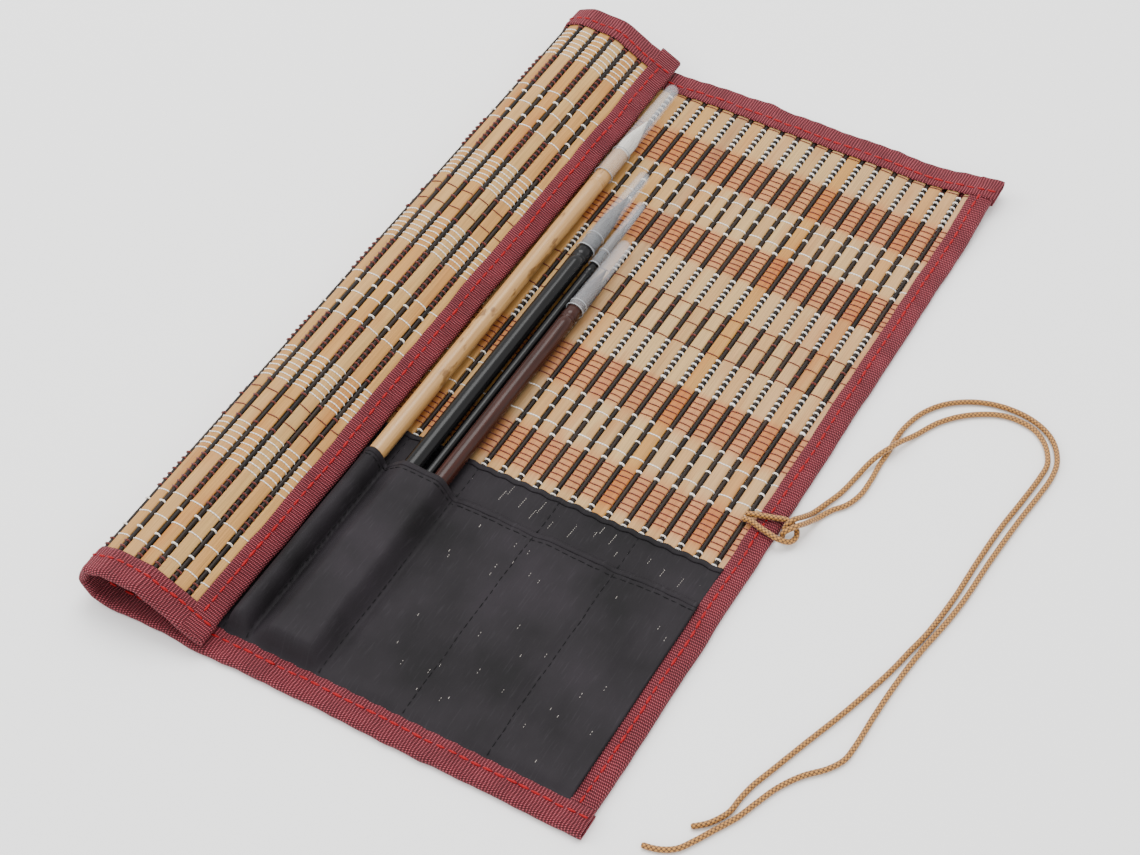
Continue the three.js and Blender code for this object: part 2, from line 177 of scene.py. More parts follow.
TAIL_B = [
  [95.2, -29.8, 1.6], [95.6, -29.6, 4.6], [98.2, -27.2, 6.4], [100.3, -21.6, 4.0], [101.9, -15.6, 1.3],
  [104.6, -10.0, 1.1], [107.6, -6.0, 1.1], [109.8, 0.4, 1.1], [110.2, 8.6, 1.1], [109.9, 16.2, 1.1],
  [110.1, 22.9, 1.1], [109.8, 29.2, 1.1], [110.4, 36.2, 1.1], [112.9, 44.8, 1.1], [118.0, 52.4, 1.1],
  [125.9, 58.2, 1.1], [135.0, 61.2, 1.1], [145.3, 61.1, 1.1], [153.3, 58.2, 1.1], [158.4, 53.8, 1.1],
  [162.1, 47.0, 1.1], [163.1, 39.9, 1.1], [162.4, 30.1, 1.1], [160.8, 16.2, 1.1], [159.2, -3.3, 1.1],
  [158.0, -24.8, 1.1], [156.3, -37.8, 1.1], [154.7, -46.8, 1.1], [153.6, -54.8, 1.1], [152.6, -64.8, 1.1],
  [151.8, -78.8, 1.1], [151.4, -92.8, 1.1], [150.6, -98.8, 1.1], [147.6, -104.2, 1.1],
  [141.9, -110.4, 1.1], [137.2, -118.0, 1.1], [134.0, -126.1, 1.1], [131.4, -133.2, 1.1],
  [127.1, -141.2, 1.1], [123.8, -147.2, 1.1], [120.4, -152.2, 1.1], [115.8, -155.0, 1.1],
  [110.6, -156.2, 1.1],
]
BIGHT = [
  [80.6, -27.8, 3.7], [83.6, -27.4, 4.5], [89.5, -25.6, 4.6], [94.6, -24.2, 4.4], [97.9, -24.8, 2.9],
  [99.4, -27.6, 2.5], [98.6, -30.6, 2.6], [95.4, -32.6, 4.0], [91.5, -32.4, 4.6], [87.0, -31.4, 4.6],
  [83.6, -30.4, 4.5], [80.6, -30.2, 3.7],
]
CORD_RADIUS = 1.0
CORD_SIDES = 18
CORD_STEP = 0.36
PLAITS = 4
PLAIT_LENGTH = 1.5


def through(route, step):
    """Points a step apart on the centripetal Catmull-Rom curve through a route's points."""
    knots = [Vector(p) for p in route]
    knots = [2 * knots[0] - knots[1]] + knots + [2 * knots[-1] - knots[-2]]
    dense = []
    for p0, p1, p2, p3 in zip(knots, knots[1:], knots[2:], knots[3:]):
        t1 = math.sqrt((p1 - p0).length)
        t2 = t1 + math.sqrt((p2 - p1).length)
        t3 = t2 + math.sqrt((p3 - p2).length)
        for share in range(40):
            t = t1 + (t2 - t1) * share / 40
            a1 = p0 * ((t1 - t) / t1) + p1 * (t / t1)
            a2 = p1 * ((t2 - t) / (t2 - t1)) + p2 * ((t - t1) / (t2 - t1))
            a3 = p2 * ((t3 - t) / (t3 - t2)) + p3 * ((t - t2) / (t3 - t2))
            b1 = a1 * ((t2 - t) / t2) + a2 * (t / t2)
            b2 = a2 * ((t3 - t) / (t3 - t1)) + a3 * ((t - t1) / (t3 - t1))
            dense.append(b1 * ((t2 - t) / (t2 - t1)) + b2 * ((t - t1) / (t2 - t1)))
    dense.append(knots[-2])
    walked = [0.0]
    for a, b in zip(dense, dense[1:]):
        walked.append(walked[-1] + (b - a).length)
    count = max(2, round(walked[-1] / step))
    points, at = [], 0
    for number in range(count + 1):
        wanted = walked[-1] * number / count
        while at + 2 < len(walked) and walked[at + 1] < wanted:
            at += 1
        share = (wanted - walked[at]) / (walked[at + 1] - walked[at])
        points.append(dense[at].lerp(dense[at + 1], share))
    return points, walked[-1]


def braid_tube(name, route, material):
    """A cord with the relief of its plaits, and a UV map of length along and turns round."""
    line, length = through(route, CORD_STEP)
    points, faces, places = [], [], []
    side = Vector((0, 0, 1))
    for number, centre in enumerate(line):
        ahead = (line[min(number + 1, len(line) - 1)] - line[max(number - 1, 0)]).normalized()
        side = (side - ahead * side.dot(ahead)).normalized()
        other = ahead.cross(side)
        along = length * number / (len(line) - 1)
        closing = min(1.0, 0.72 + 0.5 * min(along, length - along))
        for turn in range(CORD_SIDES):
            share = turn / CORD_SIDES
            rise = math.sin(math.pi * (along / PLAIT_LENGTH + PLAITS * share))
            fall = math.sin(math.pi * (along / PLAIT_LENGTH - PLAITS * share))
            relief = 0.90 + 0.10 * max(abs(rise), abs(fall))
            radius = CORD_RADIUS * relief * closing
            angle = 2 * math.pi * share
            points.append((centre + (side * math.cos(angle) + other * math.sin(angle)) * radius) * MM)
            places.append((along * MM, share))
    rings = len(line)
    for ring in range(rings - 1):
        for turn in range(CORD_SIDES):
            after = (turn + 1) % CORD_SIDES
            faces.append((ring * CORD_SIDES + turn, ring * CORD_SIDES + after,
                          (ring + 1) * CORD_SIDES + after, (ring + 1) * CORD_SIDES + turn))
    faces.append(tuple(reversed(range(CORD_SIDES))))
    faces.append(tuple(range((rings - 1) * CORD_SIDES, rings * CORD_SIDES)))
    made = new_piece(name, points, faces, material)
    uv = made.data.uv_layers.new(name="lay")
    for face in made.data.polygons:
        turns = [places[v][1] for v in face.vertices]
        for corner, vertex in zip(face.loop_indices, face.vertices):
            along, share = places[vertex]
            if max(turns) - min(turns) > 0.5 and share < 0.5:
                share += 1.0
            uv.data[corner].uv = (along, share)
    return made, line, length


# Braided rayon: soft sheen on each plait, painted shade darkening the hollows between the plaits, a brown yarn
# now and then.
tan_braid, tree, shader = new_material("braided_rayon_tan", Roughness=0.58, IOR=1.47, Sheen_Weight=0.3,
                                       Sheen_Roughness=0.4)
lay = add(tree, "ShaderNodeUVMap", {"uv_map": "lay"})
axes = add(tree, "ShaderNodeSeparateXYZ", inputs={0: lay.outputs["UV"]})
steps_along = add(tree, "ShaderNodeMath", {"operation": "MULTIPLY"},
                  {0: axes.outputs["X"], 1: math.pi / (PLAIT_LENGTH * MM)})
steps_round = add(tree, "ShaderNodeMath", {"operation": "MULTIPLY"},
                  {0: axes.outputs["Y"], 1: math.pi * PLAITS})
waves = []
for operation in ("ADD", "SUBTRACT"):
    both = add(tree, "ShaderNodeMath", {"operation": operation},
               {0: steps_along, 1: steps_round})
    wave = add(tree, "ShaderNodeMath", {"operation": "SINE"}, {0: both})
    waves.append(add(tree, "ShaderNodeMath", {"operation": "ABSOLUTE"}, {0: wave}))
plait = add(tree, "ShaderNodeMath", {"operation": "MULTIPLY"},
            {0: waves[0], 1: waves[1]})
# Painted shade: the colour darkens to deep brown in the hollows between the plaits, where shade falls; the tan
# on the plaits' crowns is the yarn's own colour.
shade = add(tree, "ShaderNodeValToRGB", inputs={"Fac": plait})
shade.color_ramp.elements[0].position = 0.08
shade.color_ramp.elements[0].color = linear("#3A1E08")
shade.color_ramp.elements[1].position = 0.5
shade.color_ramp.elements[1].color = linear("#B07A34")
fleck_place = add(tree, "ShaderNodeMapping", inputs={"Vector": lay.outputs["UV"], "Scale": (900.0, 6.0, 1.0)})
fleck = add(tree, "ShaderNodeTexNoise", inputs={"Vector": fleck_place, "Scale": 1.0, "Detail": 2.0})
fleck_share = add(tree, "ShaderNodeMapRange", inputs={"Value": fleck.outputs["Fac"], "From Min": 0.60,
                                                      "From Max": 0.72, "To Max": 0.62})
braid_colour = add(tree, "ShaderNodeMix", {"data_type": "RGBA"},
                   {0: fleck_share, 6: shade.outputs["Color"], 7: linear("#5A300E")})
tree.links.new(braid_colour.outputs[2], shader.inputs["Base Color"])
relief = add(tree, "ShaderNodeBump", inputs={"Height": plait, "Strength": 0.5, "Distance": 0.0002})
tree.links.new(relief.outputs[0], shader.inputs["Normal"])

bight, bight_line, bight_length = braid_tube("tie_cord_bight", BIGHT, tan_braid)
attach(bight, "mat")
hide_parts("cord_bight")
for name, route in (("a", TAIL_A), ("b", TAIL_B)):
    tail, line, length = braid_tube("tie_cord_tail_" + name, route, tan_braid)
    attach(tail, "mat")
    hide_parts("cord_tail_" + name)

# ---- Bamboo slats ------------------------------------------------------------------------
# Thirty-five splints of split bamboo, 4.8 by 1.5 mm, with scraped corners and slightly domed
# faces. They lie 6.8 mm apart with their ends under the tape; the left ten roll over rightward.
PITCH = 6.8
SLAT_LENGTH = 322.4
SLAT_WIDTH = 4.8
SLAT_THICKNESS = 1.5
FIRST_STICK = 81.26
MID_HEIGHT = 1.6
FIRST_ROLLED = 24
LAST_SLAT = 34
ROLL_X = FIRST_STICK - FIRST_ROLLED * PITCH
ROLL_BENDS = [math.radians(bend) for bend in (16, 46, 50, 46, 24, 0, 26, 0, 0)]
BEND_HALF = 0.95
CURL_HEIGHT = 4.0
FRONT_START = 148.2
WEAVE_REPEAT = 117.5
# Where red thread has stained the slats, as stretches down from the start of a repeat
STAINED = [(17.4, 36.0), (59.6, 77.4)]

roll_corners, roll_headings = [Vector((ROLL_X, 0, MID_HEIGHT))], []
for bend in ROLL_BENDS:
    roll_headings.append((roll_headings[-1] if roll_headings else 0.0) + bend)
    ahead = Vector((-math.cos(roll_headings[-1]), 0, math.sin(roll_headings[-1])))
    roll_corners.append(roll_corners[-1] + ahead * PITCH)


def along_roll(distance):
    """The middle of the mat this far past the first rolled stick, cutting no corners."""
    if distance <= 0:
        return Vector((ROLL_X - distance, 0, MID_HEIGHT))
    stretch = min(int(distance / PITCH), len(ROLL_BENDS) - 1)
    heading = roll_headings[stretch]
    ahead = Vector((-math.cos(heading), 0, math.sin(heading)))
    return roll_corners[stretch] + ahead * (distance - stretch * PITCH)


def ease(share):
    """0 to 1 with a soft start and end."""
    share = min(1.0, max(0.0, share))
    return share * share * (3 - 2 * share)


def corner_curl(u, y):
    """How far the mat's far right corner has warped up off the table."""
    return CURL_HEIGHT * ease((u - 62.0) / 34.0) * ease((y - 112.0) / 54.0)


def on_mat(u, y, w):
    """Where a point of the mat lies, in metres: u across the mat laid flat, y, and w above it."""
    distance = ROLL_X - u
    corner = round(distance / PITCH)
    if 0 <= corner < len(ROLL_BENDS) and abs(distance - corner * PITCH) < BEND_HALF:
        before = along_roll(corner * PITCH - BEND_HALF)
        after = along_roll(corner * PITCH + BEND_HALF)
        share = (distance - corner * PITCH + BEND_HALF) / (2 * BEND_HALF)
        middle = roll_corners[corner]
        place = before.lerp(middle, share).lerp(middle.lerp(after, share), share)
        ahead = (middle - before).lerp(after - middle, share).normalized()
    else:
        place = along_roll(distance)
        ahead = (along_roll(distance + 0.01) - place).normalized()
    return (place + Vector((ahead.z, 0, -ahead.x)) * w + Vector((0, y, corner_curl(u, y)))) * MM


def new_tree(name, sizes, counts=()):
    """A Geometry Nodes tree that takes places, sizes, whole-number counts and a material, and
    gives pieces; returns it and its input node."""
    tree = bpy.data.node_groups.new(name, "GeometryNodeTree")
    sockets = [("Places", "Geometry")] + [(size, "Float") for size in sizes]
    sockets += [(count, "Int") for count in counts] + [("Material", "Material")]
    for socket, kind in sockets:
        tree.interface.new_socket(socket, in_out="INPUT", socket_type="NodeSocket" + kind)
    tree.interface.new_socket("Pieces", in_out="OUTPUT", socket_type="NodeSocketGeometry")
    return tree, add(tree, "NodeGroupInput")


def finish_tree(tree, given, geometry):
    """Ends a tree: its geometry smooth, in the given material."""
    smooth = add(tree, "GeometryNodeSetShadeSmooth", inputs={"Geometry": geometry})
    coloured = add(tree, "GeometryNodeSetMaterial",
                   inputs={"Geometry": smooth, "Material": given.outputs["Material"]})
    add(tree, "NodeGroupOutput", inputs={"Pieces": coloured})


def rods_tree(name, round_rods):
    """Geometry Nodes: a rod along Y at each place, slightly bowed, of domed or round section."""
    tree, given = new_tree(name, ["Length", "Radius", "Bow"] if round_rods else
                           ["Length", "Width", "Thickness", "Bow"], ["Rings"])
    half = add(tree, "ShaderNodeMath", {"operation": "MULTIPLY"}, {0: given.outputs["Length"], 1: 0.5})
    other_half = add(tree, "ShaderNodeMath", {"operation": "MULTIPLY"}, {0: given.outputs["Length"], 1: -0.5})
    far_end = add(tree, "ShaderNodeCombineXYZ", inputs={"Y": half})
    near_end = add(tree, "ShaderNodeCombineXYZ", inputs={"Y": other_half})
    line = add(tree, "GeometryNodeCurvePrimitiveLine", inputs={"Start": near_end,
                                                               "End": far_end})
    rings = add(tree, "GeometryNodeResampleCurve", inputs={"Curve": line,
                                                           "Count": given.outputs["Rings"]})
    copies = add(tree, "GeometryNodeInstanceOnPoints", inputs={"Points": given.outputs["Places"],
                                                               "Instance": rings})
    real = add(tree, "GeometryNodeRealizeInstances", inputs={0: copies})
    place = add(tree, "GeometryNodeInputPosition")
    stretched = add(tree, "ShaderNodeVectorMath", {"operation": "MULTIPLY"},
                    {0: place, 1: (97.0, 9.0, 0.0)})
    wander = add(tree, "ShaderNodeTexNoise", inputs={"Vector": stretched, "Scale": 1.0, "Detail": 1.0})
    centred = add(tree, "ShaderNodeMath", {"operation": "SUBTRACT"}, {0: wander.outputs["Fac"], 1: 0.5})
    aside = add(tree, "ShaderNodeMath", {"operation": "MULTIPLY"}, {0: centred, 1: given.outputs["Bow"]})
    shift = add(tree, "ShaderNodeCombineXYZ", inputs={"X": aside})
    bowed = add(tree, "GeometryNodeSetPosition", inputs={"Geometry": real, "Offset": shift})
    if round_rods:
        section = add(tree, "GeometryNodeCurvePrimitiveCircle", inputs={"Resolution": 10,
                                                                        "Radius": given.outputs["Radius"]})
        outline = section.outputs[0]
    else:
        ring = add(tree, "GeometryNodeCurvePrimitiveCircle", inputs={"Resolution": 20, "Radius": 1.0})
        spot = add(tree, "ShaderNodeSeparateXYZ", inputs={0: add(tree, "GeometryNodeInputPosition")})
        pushed = {}
        for axis, power, size in (("X", 0.42, "Width"), ("Y", 0.62, "Thickness")):
            reach = add(tree, "ShaderNodeMath", {"operation": "ABSOLUTE"}, {0: spot.outputs[axis]})
            flattened = add(tree, "ShaderNodeMath", {"operation": "POWER"}, {0: reach, 1: power})
            side = add(tree, "ShaderNodeMath", {"operation": "SIGN"}, {0: spot.outputs[axis]})
            sided = add(tree, "ShaderNodeMath", {"operation": "MULTIPLY"}, {0: flattened,
                                                                           1: side})
            half_size = add(tree, "ShaderNodeMath", {"operation": "MULTIPLY"},
                            {0: given.outputs[size], 1: 0.5})
            pushed[axis] = add(tree, "ShaderNodeMath", {"operation": "MULTIPLY"},
                               {0: sided, 1: half_size}).outputs[0]
        crowned = add(tree, "ShaderNodeCombineXYZ", inputs={"X": pushed["X"], "Y": pushed["Y"]})
        outline = add(tree, "GeometryNodeSetPosition", inputs={"Geometry": ring,
                                                               "Position": crowned}).outputs[0]
    swept = add(tree, "GeometryNodeCurveToMesh", inputs={"Curve": bowed, "Profile Curve": outline,
                                                         "Fill Caps": True})
    finish_tree(tree, given, swept)
    return tree


def run_tree(name, mesh, tree, sizes):
    """Runs a tree on a mesh of loose points or edges and returns the plain object it makes."""
    base = bpy.data.objects.new(name + "_places", mesh)
    bpy.context.scene.collection.objects.link(base)
    modifier = base.modifiers.new("grow", "NODES")
    modifier.node_group = tree
    sockets = {s.name: s.identifier for s in tree.interface.items_tree if s.in_out == "INPUT"}
    for size, value in sizes.items():
        modifier[sockets[size]] = value
    bpy.context.view_layer.update()
    evaluated = base.evaluated_get(bpy.context.evaluated_depsgraph_get())
    plain = bpy.data.meshes.new_from_object(evaluated)
    base.modifiers.remove(modifier)
    bpy.data.objects.remove(base)
    plain.name = name
    made = bpy.data.objects.new(name, plain)
    bpy.context.scene.collection.objects.link(made)
    return made


def grown(name, tree, places, sizes, attributes=()):
    """What a tree makes at places in metres, with numbers or colours for each as attributes."""
    mesh = bpy.data.meshes.new(name + "_places")
    mesh.from_pydata([tuple(p) for p in places], [], [])
    for attribute, values in dict(attributes).items():
        coloured = isinstance(values[0], (tuple, list))
        layer = mesh.attributes.new(attribute, "FLOAT_COLOR" if coloured else "FLOAT", "POINT")
        flat = [x for v in values for x in v] if coloured else values
        layer.data.foreach_set("color" if coloured else "value", flat)
    return run_tree(name, mesh, tree, sizes)


def bend_onto_mat(piece):
    """Moves a piece made on the mat laid flat, in metres, to where the rolled mat has it."""
    for vertex in piece.data.vertices:
        u, y, w = vertex.co / MM
        vertex.co = on_mat(u, y, w)
    piece.data.update()


# Split bamboo: pale tan with fine long fibres, satin where the knife left it smooth, each
# splint of its own tone, darker at the nodes and stained red-brown under the red threads.
split_bamboo, tree, shader = new_material("split_bamboo", Roughness=0.5, IOR=1.5, Specular_IOR_Level=0.2)
where = add(tree, "ShaderNodeTexCoord")
tone = add(tree, "ShaderNodeAttribute", {"attribute_name": "tone"})
fibre_place = add(tree, "ShaderNodeMapping",
                  inputs={"Vector": where.outputs["Object"], "Scale": (2600.0, 34.0, 900.0)})
fibres = add(tree, "ShaderNodeTexNoise", inputs={"Vector": fibre_place, "Scale": 1.0, "Detail": 4.0,
                                                 "Roughness": 0.62})
fibre_tone = add(tree, "ShaderNodeMapRange", inputs={"Value": fibres.outputs["Fac"], "From Min": 0.28,
                                                     "From Max": 0.72, "To Min": 0.72, "To Max": 1.16})
fibred = add(tree, "ShaderNodeVectorMath", {"operation": "SCALE"}, {0: tone.outputs["Color"],
                                                                   "Scale": fibre_tone})
patch_place = add(tree, "ShaderNodeMapping",
                  inputs={"Vector": where.outputs["Object"], "Scale": (150.0, 26.0, 60.0)})
patches = add(tree, "ShaderNodeTexNoise", inputs={"Vector": patch_place, "Scale": 1.0, "Detail": 2.0})
patch_share = add(tree, "ShaderNodeMapRange", inputs={"Value": patches.outputs["Fac"], "From Min": 0.50,
                                                      "From Max": 0.74, "To Max": 0.42})
patched = add(tree, "ShaderNodeMix", {"data_type": "RGBA", "blend_type": "MULTIPLY"},
              {0: patch_share, 6: fibred, 7: linear("#E0A05E")})
stain = add(tree, "ShaderNodeAttribute", {"attribute_name": "stain"})
stain_share = add(tree, "ShaderNodeMath", {"operation": "MULTIPLY"}, {0: stain.outputs["Fac"], 1: 0.55})
stained = add(tree, "ShaderNodeMix", {"data_type": "RGBA", "blend_type": "MULTIPLY"},
              {0: stain_share, 6: patched.outputs[2], 7: linear("#F2A27A")})
tree.links.new(stained.outputs[2], shader.inputs["Base Color"])
fibre_relief = add(tree, "ShaderNodeBump", inputs={"Height": fibres.outputs["Fac"], "Strength": 0.22,
                                                   "Distance": 0.00012})
tree.links.new(fibre_relief.outputs[0], shader.inputs["Normal"])

SLAT_TONES = ["#B28A5F", "#B38D5D", "#AC7D48", "#B28B5D", "#B18D5C", "#AE8553", "#B08C5D", "#AB7B3C", "#B4915E",
              "#AA8453", "#B3915F", "#B28D5D", "#B28D5A", "#B0844E", "#9F7D54", "#AE8753", "#AC8147", "#AF8A56",
              "#A87C44", "#AE8855", "#AA804A", "#A57F4A", "#9E7242", "#A06C31", "#AB8048", "#AC8249", "#A97D43",
              "#AE864D", "#AA7E47", "#B18851", "#AC7C3F", "#B38C54", "#AD7E44", "#B08549", "#AC7E3F"]


STAIN_FADE = 1.5


def stain_at(y):
    """How much the slat is stained by red thread at a place along it, 0 to 1."""
    down = (FRONT_START - y) % WEAVE_REPEAT
    shares = [min(down - start, end - down) / (2 * STAIN_FADE) + 0.5 for start, end in STAINED]
    return max(0.0, min(1.0, max(shares)))


slats_of = {}
for body, members in frame["record"]["behaviour"]["bodies"].items():
    numbers = sorted(int(node_name[5:]) for node_name in members if node_name.startswith("slat_"))
    if numbers:
        slats_of[body] = numbers

slat_tree = rods_tree("split_slats", False)
for body, numbers in slats_of.items():
    places = [((FIRST_STICK + PITCH / 2 - PITCH * n) * MM, 0, 0) for n in numbers]
    sizes = {"Length": SLAT_LENGTH * MM, "Width": SLAT_WIDTH * MM, "Thickness": SLAT_THICKNESS * MM,
             "Bow": 0.35 * MM, "Rings": 96, "Material": split_bamboo}
    tones = {"tone": [linear(SLAT_TONES[n]) for n in numbers]}
    slats = grown("slats_" + body, slat_tree, places, sizes, tones)
    stain_layer = slats.data.attributes.new("stain", "FLOAT", "POINT")
    stain_layer.data.foreach_set("value", [stain_at(v.co.y / MM) if v.co.z > 0 else 0.0
                                           for v in slats.data.vertices])
    bend_onto_mat(slats)
    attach(slats, body)
    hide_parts(*["slat_%02d" % n for n in numbers])

# ---- Dark sticks -------------------------------------------------------------------------
# Between the slats lie thin round sticks of bamboo dyed black-brown, one at each gap, that the
# threads hold. The roll bends at them.
dyed_stick, *_ = mottled("dyed_bamboo_stick", (700.0, 45.0, 500.0), ("#0D0A09", "#2A1F18"), (0.35, 0.72), 3.0,
                         (0.3, 0.0001), Roughness=0.5, IOR=1.5, Specular_IOR_Level=0.2)

STICK_LENGTH = 322.0
STICK_RADIUS = 0.76
stick_tree = rods_tree("dyed_sticks", True)
for body, numbers in slats_of.items():
    sizes = {"Length": STICK_LENGTH * MM, "Radius": STICK_RADIUS * MM, "Bow": 0.12 * MM, "Rings": 40,
             "Material": dyed_stick}
    places = [on_mat(FIRST_STICK - PITCH * n, 0, 0) for n in numbers if n < LAST_SLAT]
    sticks = grown("sticks_" + body, stick_tree, places, sizes)
    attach(sticks, body)

# ---- Woven threads -----------------------------------------------------------------------
# Cotton threads, dark red and white, cross the mat in courses: some go over the slats and under
# the sticks, others under the slats and over the sticks, in a fixed repeat.
THREAD_LIFT = 0.9
RINGS_PER_SLAT = 13
WOVEN_TO = 84.9
NEAR_COURSE = -151.5
FAR_COURSE = 150.2
# (kind, places down from the start of the repeat): over the slats or over the sticks
COURSES = [
    ("white", "sticks", [0.0, 2.65, 5.3, 7.95, 10.6, 13.25, 15.9]),
    ("red", "slats", [18.6, 21.3, 24.0, 26.7, 29.4, 32.1, 34.9]),
    ("white", "sticks", [37.0, 47.3, 58.9]),
    ("white", "slats", [41.8, 54.2]),
    ("red", "slats", [61.0, 63.5, 66.1, 68.6, 71.2, 73.7, 76.3]),
    ("white", "sticks", [79.6, 82.2, 84.8, 87.3, 89.8, 92.4, 94.7]),
    ("red", "slats", [96.9, 105.5, 115.7]),
    ("red", "sticks", [101.0, 110.5]),
]


def thread_tree():
    """Geometry Nodes: at each point a thread along X that waves over and under the slats."""
    tree, given = new_tree("woven_threads", ["Start", "End", "Pitch", "Slat Place", "Lift", "Radius"],
                           ["Rings"])
    start = add(tree, "ShaderNodeCombineXYZ", inputs={"X": given.outputs["Start"]})
    end = add(tree, "ShaderNodeCombineXYZ", inputs={"X": given.outputs["End"]})
    line = add(tree, "GeometryNodeCurvePrimitiveLine", inputs={"Start": start, "End": end})
    rings = add(tree, "GeometryNodeResampleCurve", inputs={"Curve": line,
                                                           "Count": given.outputs["Rings"]})
    copies = add(tree, "GeometryNodeInstanceOnPoints", inputs={"Points": given.outputs["Places"],
                                                               "Instance": rings})
    real = add(tree, "GeometryNodeRealizeInstances", inputs={0: copies})
    place = add(tree, "GeometryNodeInputPosition")
    axes = add(tree, "ShaderNodeSeparateXYZ", inputs={0: place})
    past = add(tree, "ShaderNodeMath", {"operation": "SUBTRACT"},
               {0: axes.outputs["X"], 1: given.outputs["Slat Place"]})
    pitches = add(tree, "ShaderNodeMath", {"operation": "DIVIDE"}, {0: past, 1: given.outputs["Pitch"]})
    turns = add(tree, "ShaderNodeMath", {"operation": "MULTIPLY"}, {0: pitches, 1: 2 * math.pi})
    swing = add(tree, "ShaderNodeMath", {"operation": "COSINE"}, {0: turns})
    wide = add(tree, "ShaderNodeMath", {"operation": "MULTIPLY_ADD"}, {0: swing, 1: 4.0, 2: 2.4})
    low = add(tree, "ShaderNodeMath", {"operation": "MAXIMUM"}, {0: wide, 1: -1.0})
    high = add(tree, "ShaderNodeMath", {"operation": "MINIMUM"}, {0: low, 1: 1.0})
    over = add(tree, "GeometryNodeInputNamedAttribute", {"data_type": "FLOAT"}, {"Name": "over"})
    signed = add(tree, "ShaderNodeMath", {"operation": "MULTIPLY"}, {0: high, 1: over})
    crown = add(tree, "ShaderNodeMath", {"operation": "MULTIPLY"}, {0: swing, 1: swing})
    arched = add(tree, "ShaderNodeMath", {"operation": "MULTIPLY_ADD"}, {0: crown, 1: 0.14, 2: 0.86})
    lift = add(tree, "ShaderNodeMath", {"operation": "MULTIPLY"}, {0: arched, 1: given.outputs["Lift"]})
    lifted = add(tree, "ShaderNodeMath", {"operation": "MULTIPLY"}, {0: signed, 1: lift})
    stretched = add(tree, "ShaderNodeVectorMath", {"operation": "MULTIPLY"},
                    {0: place, 1: (160.0, 900.0, 0.0)})
    wander = add(tree, "ShaderNodeTexNoise", inputs={"Vector": stretched, "Scale": 1.0, "Detail": 1.0})
    aside = add(tree, "ShaderNodeMath", {"operation": "MULTIPLY_ADD"},
                {0: wander.outputs["Fac"], 1: 0.9 * MM, 2: -0.45 * MM})
    shift = add(tree, "ShaderNodeCombineXYZ", inputs={"Y": aside, "Z": lifted})
    waved = add(tree, "GeometryNodeSetPosition", inputs={"Geometry": real, "Offset": shift})
    section = add(tree, "GeometryNodeCurvePrimitiveCircle", inputs={"Resolution": 5,
                                                                    "Radius": given.outputs["Radius"]})
    flat = add(tree, "GeometryNodeTransform", inputs={"Geometry": section, "Scale": (0.7, 1.25, 1.0)})
    fuller = add(tree, "ShaderNodeMath", {"operation": "MULTIPLY_ADD"}, {0: high, 1: -0.3, 2: 1.3})
    swept = add(tree, "GeometryNodeCurveToMesh", inputs={"Curve": waved,
                                                         "Profile Curve": flat,
                                                         "Scale": fuller, "Fill Caps": True})
    finish_tree(tree, given, swept)
    return tree


# Spun cotton: matt and a little fuzzy, its twist shown as slanting stripes of painted light and shade over the
# ply relief.
THREAD_RADIUS = 0.27
THREADS = {}
for thread, code, twist_shade_code in (("white", "#F2EEE6", "#C0B8AA"), ("red", "#681E10", "#3A0E08")):
    cotton, tree, shader = new_material("spun_cotton_" + thread, Roughness=0.85, IOR=1.47, Sheen_Weight=0.25)
    where = add(tree, "ShaderNodeTexCoord")
    slant = add(tree, "ShaderNodeMapping", inputs={"Vector": where.outputs["Object"],
                                                   "Rotation": (0, 0, math.radians(40))})
    twist = add(tree, "ShaderNodeTexWave", {"bands_direction": "X"}, {"Vector": slant, "Scale": 420.0,
                                                                     "Distortion": 1.5})
    # Painted shade: the grooves of the twist are coloured darker than the thread's own colour, in slanting
    # stripes that follow the ply bump.
    spun = add(tree, "ShaderNodeValToRGB", inputs={"Fac": twist.outputs["Fac"]})
    spun.color_ramp.elements[0].color = linear(twist_shade_code)
    spun.color_ramp.elements[1].position = 0.55
    spun.color_ramp.elements[1].color = linear(code)
    tree.links.new(spun.outputs["Color"], shader.inputs["Base Color"])
    ply = add(tree, "ShaderNodeBump",
              inputs={"Height": twist.outputs["Fac"], "Strength": 0.4, "Distance": 0.0001})
    tree.links.new(ply.outputs[0], shader.inputs["Normal"])
    THREADS[thread] = cotton

weave_tree = thread_tree()
for body, numbers in slats_of.items():
    first = WOVEN_TO if numbers[0] == 0 else FIRST_STICK - PITCH * (numbers[0] - 1)
    last = FIRST_STICK - PITCH * (numbers[-1] if numbers[-1] < LAST_SLAT else LAST_SLAT - 0.75)
    for thread, cotton in THREADS.items():
        places, overs = [], []
        for repeat in range(3):
            for kind, crossing, downs in COURSES:
                for down in downs if kind == thread else []:
                    y = FRONT_START - WEAVE_REPEAT * repeat - down
                    if y > NEAR_COURSE:
                        places.append((0, y * MM, 0))
                        overs.append(1.0 if crossing == "slats" else -1.0)
        if thread == "red":
            places.append((0, FAR_COURSE * MM, 0))
            overs.append(1.0)
        sizes = {"Start": last * MM, "End": first * MM, "Pitch": PITCH * MM, "Lift": THREAD_LIFT * MM,
                 "Slat Place": (FIRST_STICK + PITCH / 2) * MM, "Radius": THREAD_RADIUS * MM,
                 "Rings": round((first - last) / PITCH * RINGS_PER_SLAT) + 1, "Material": cotton}
        woven = grown(thread + "_threads_" + body, weave_tree, places, sizes, {"over": overs})
        bend_onto_mat(woven)
        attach(woven, body)

# ---- Tape bindings -----------------------------------------------------------------------
# A ribbed polyester tape, dark red with pink and silver weft, is folded over all four edges and
# sewn through with bright red thread. The far and near tapes lap over the right and free ones.
TAPE = 0.7
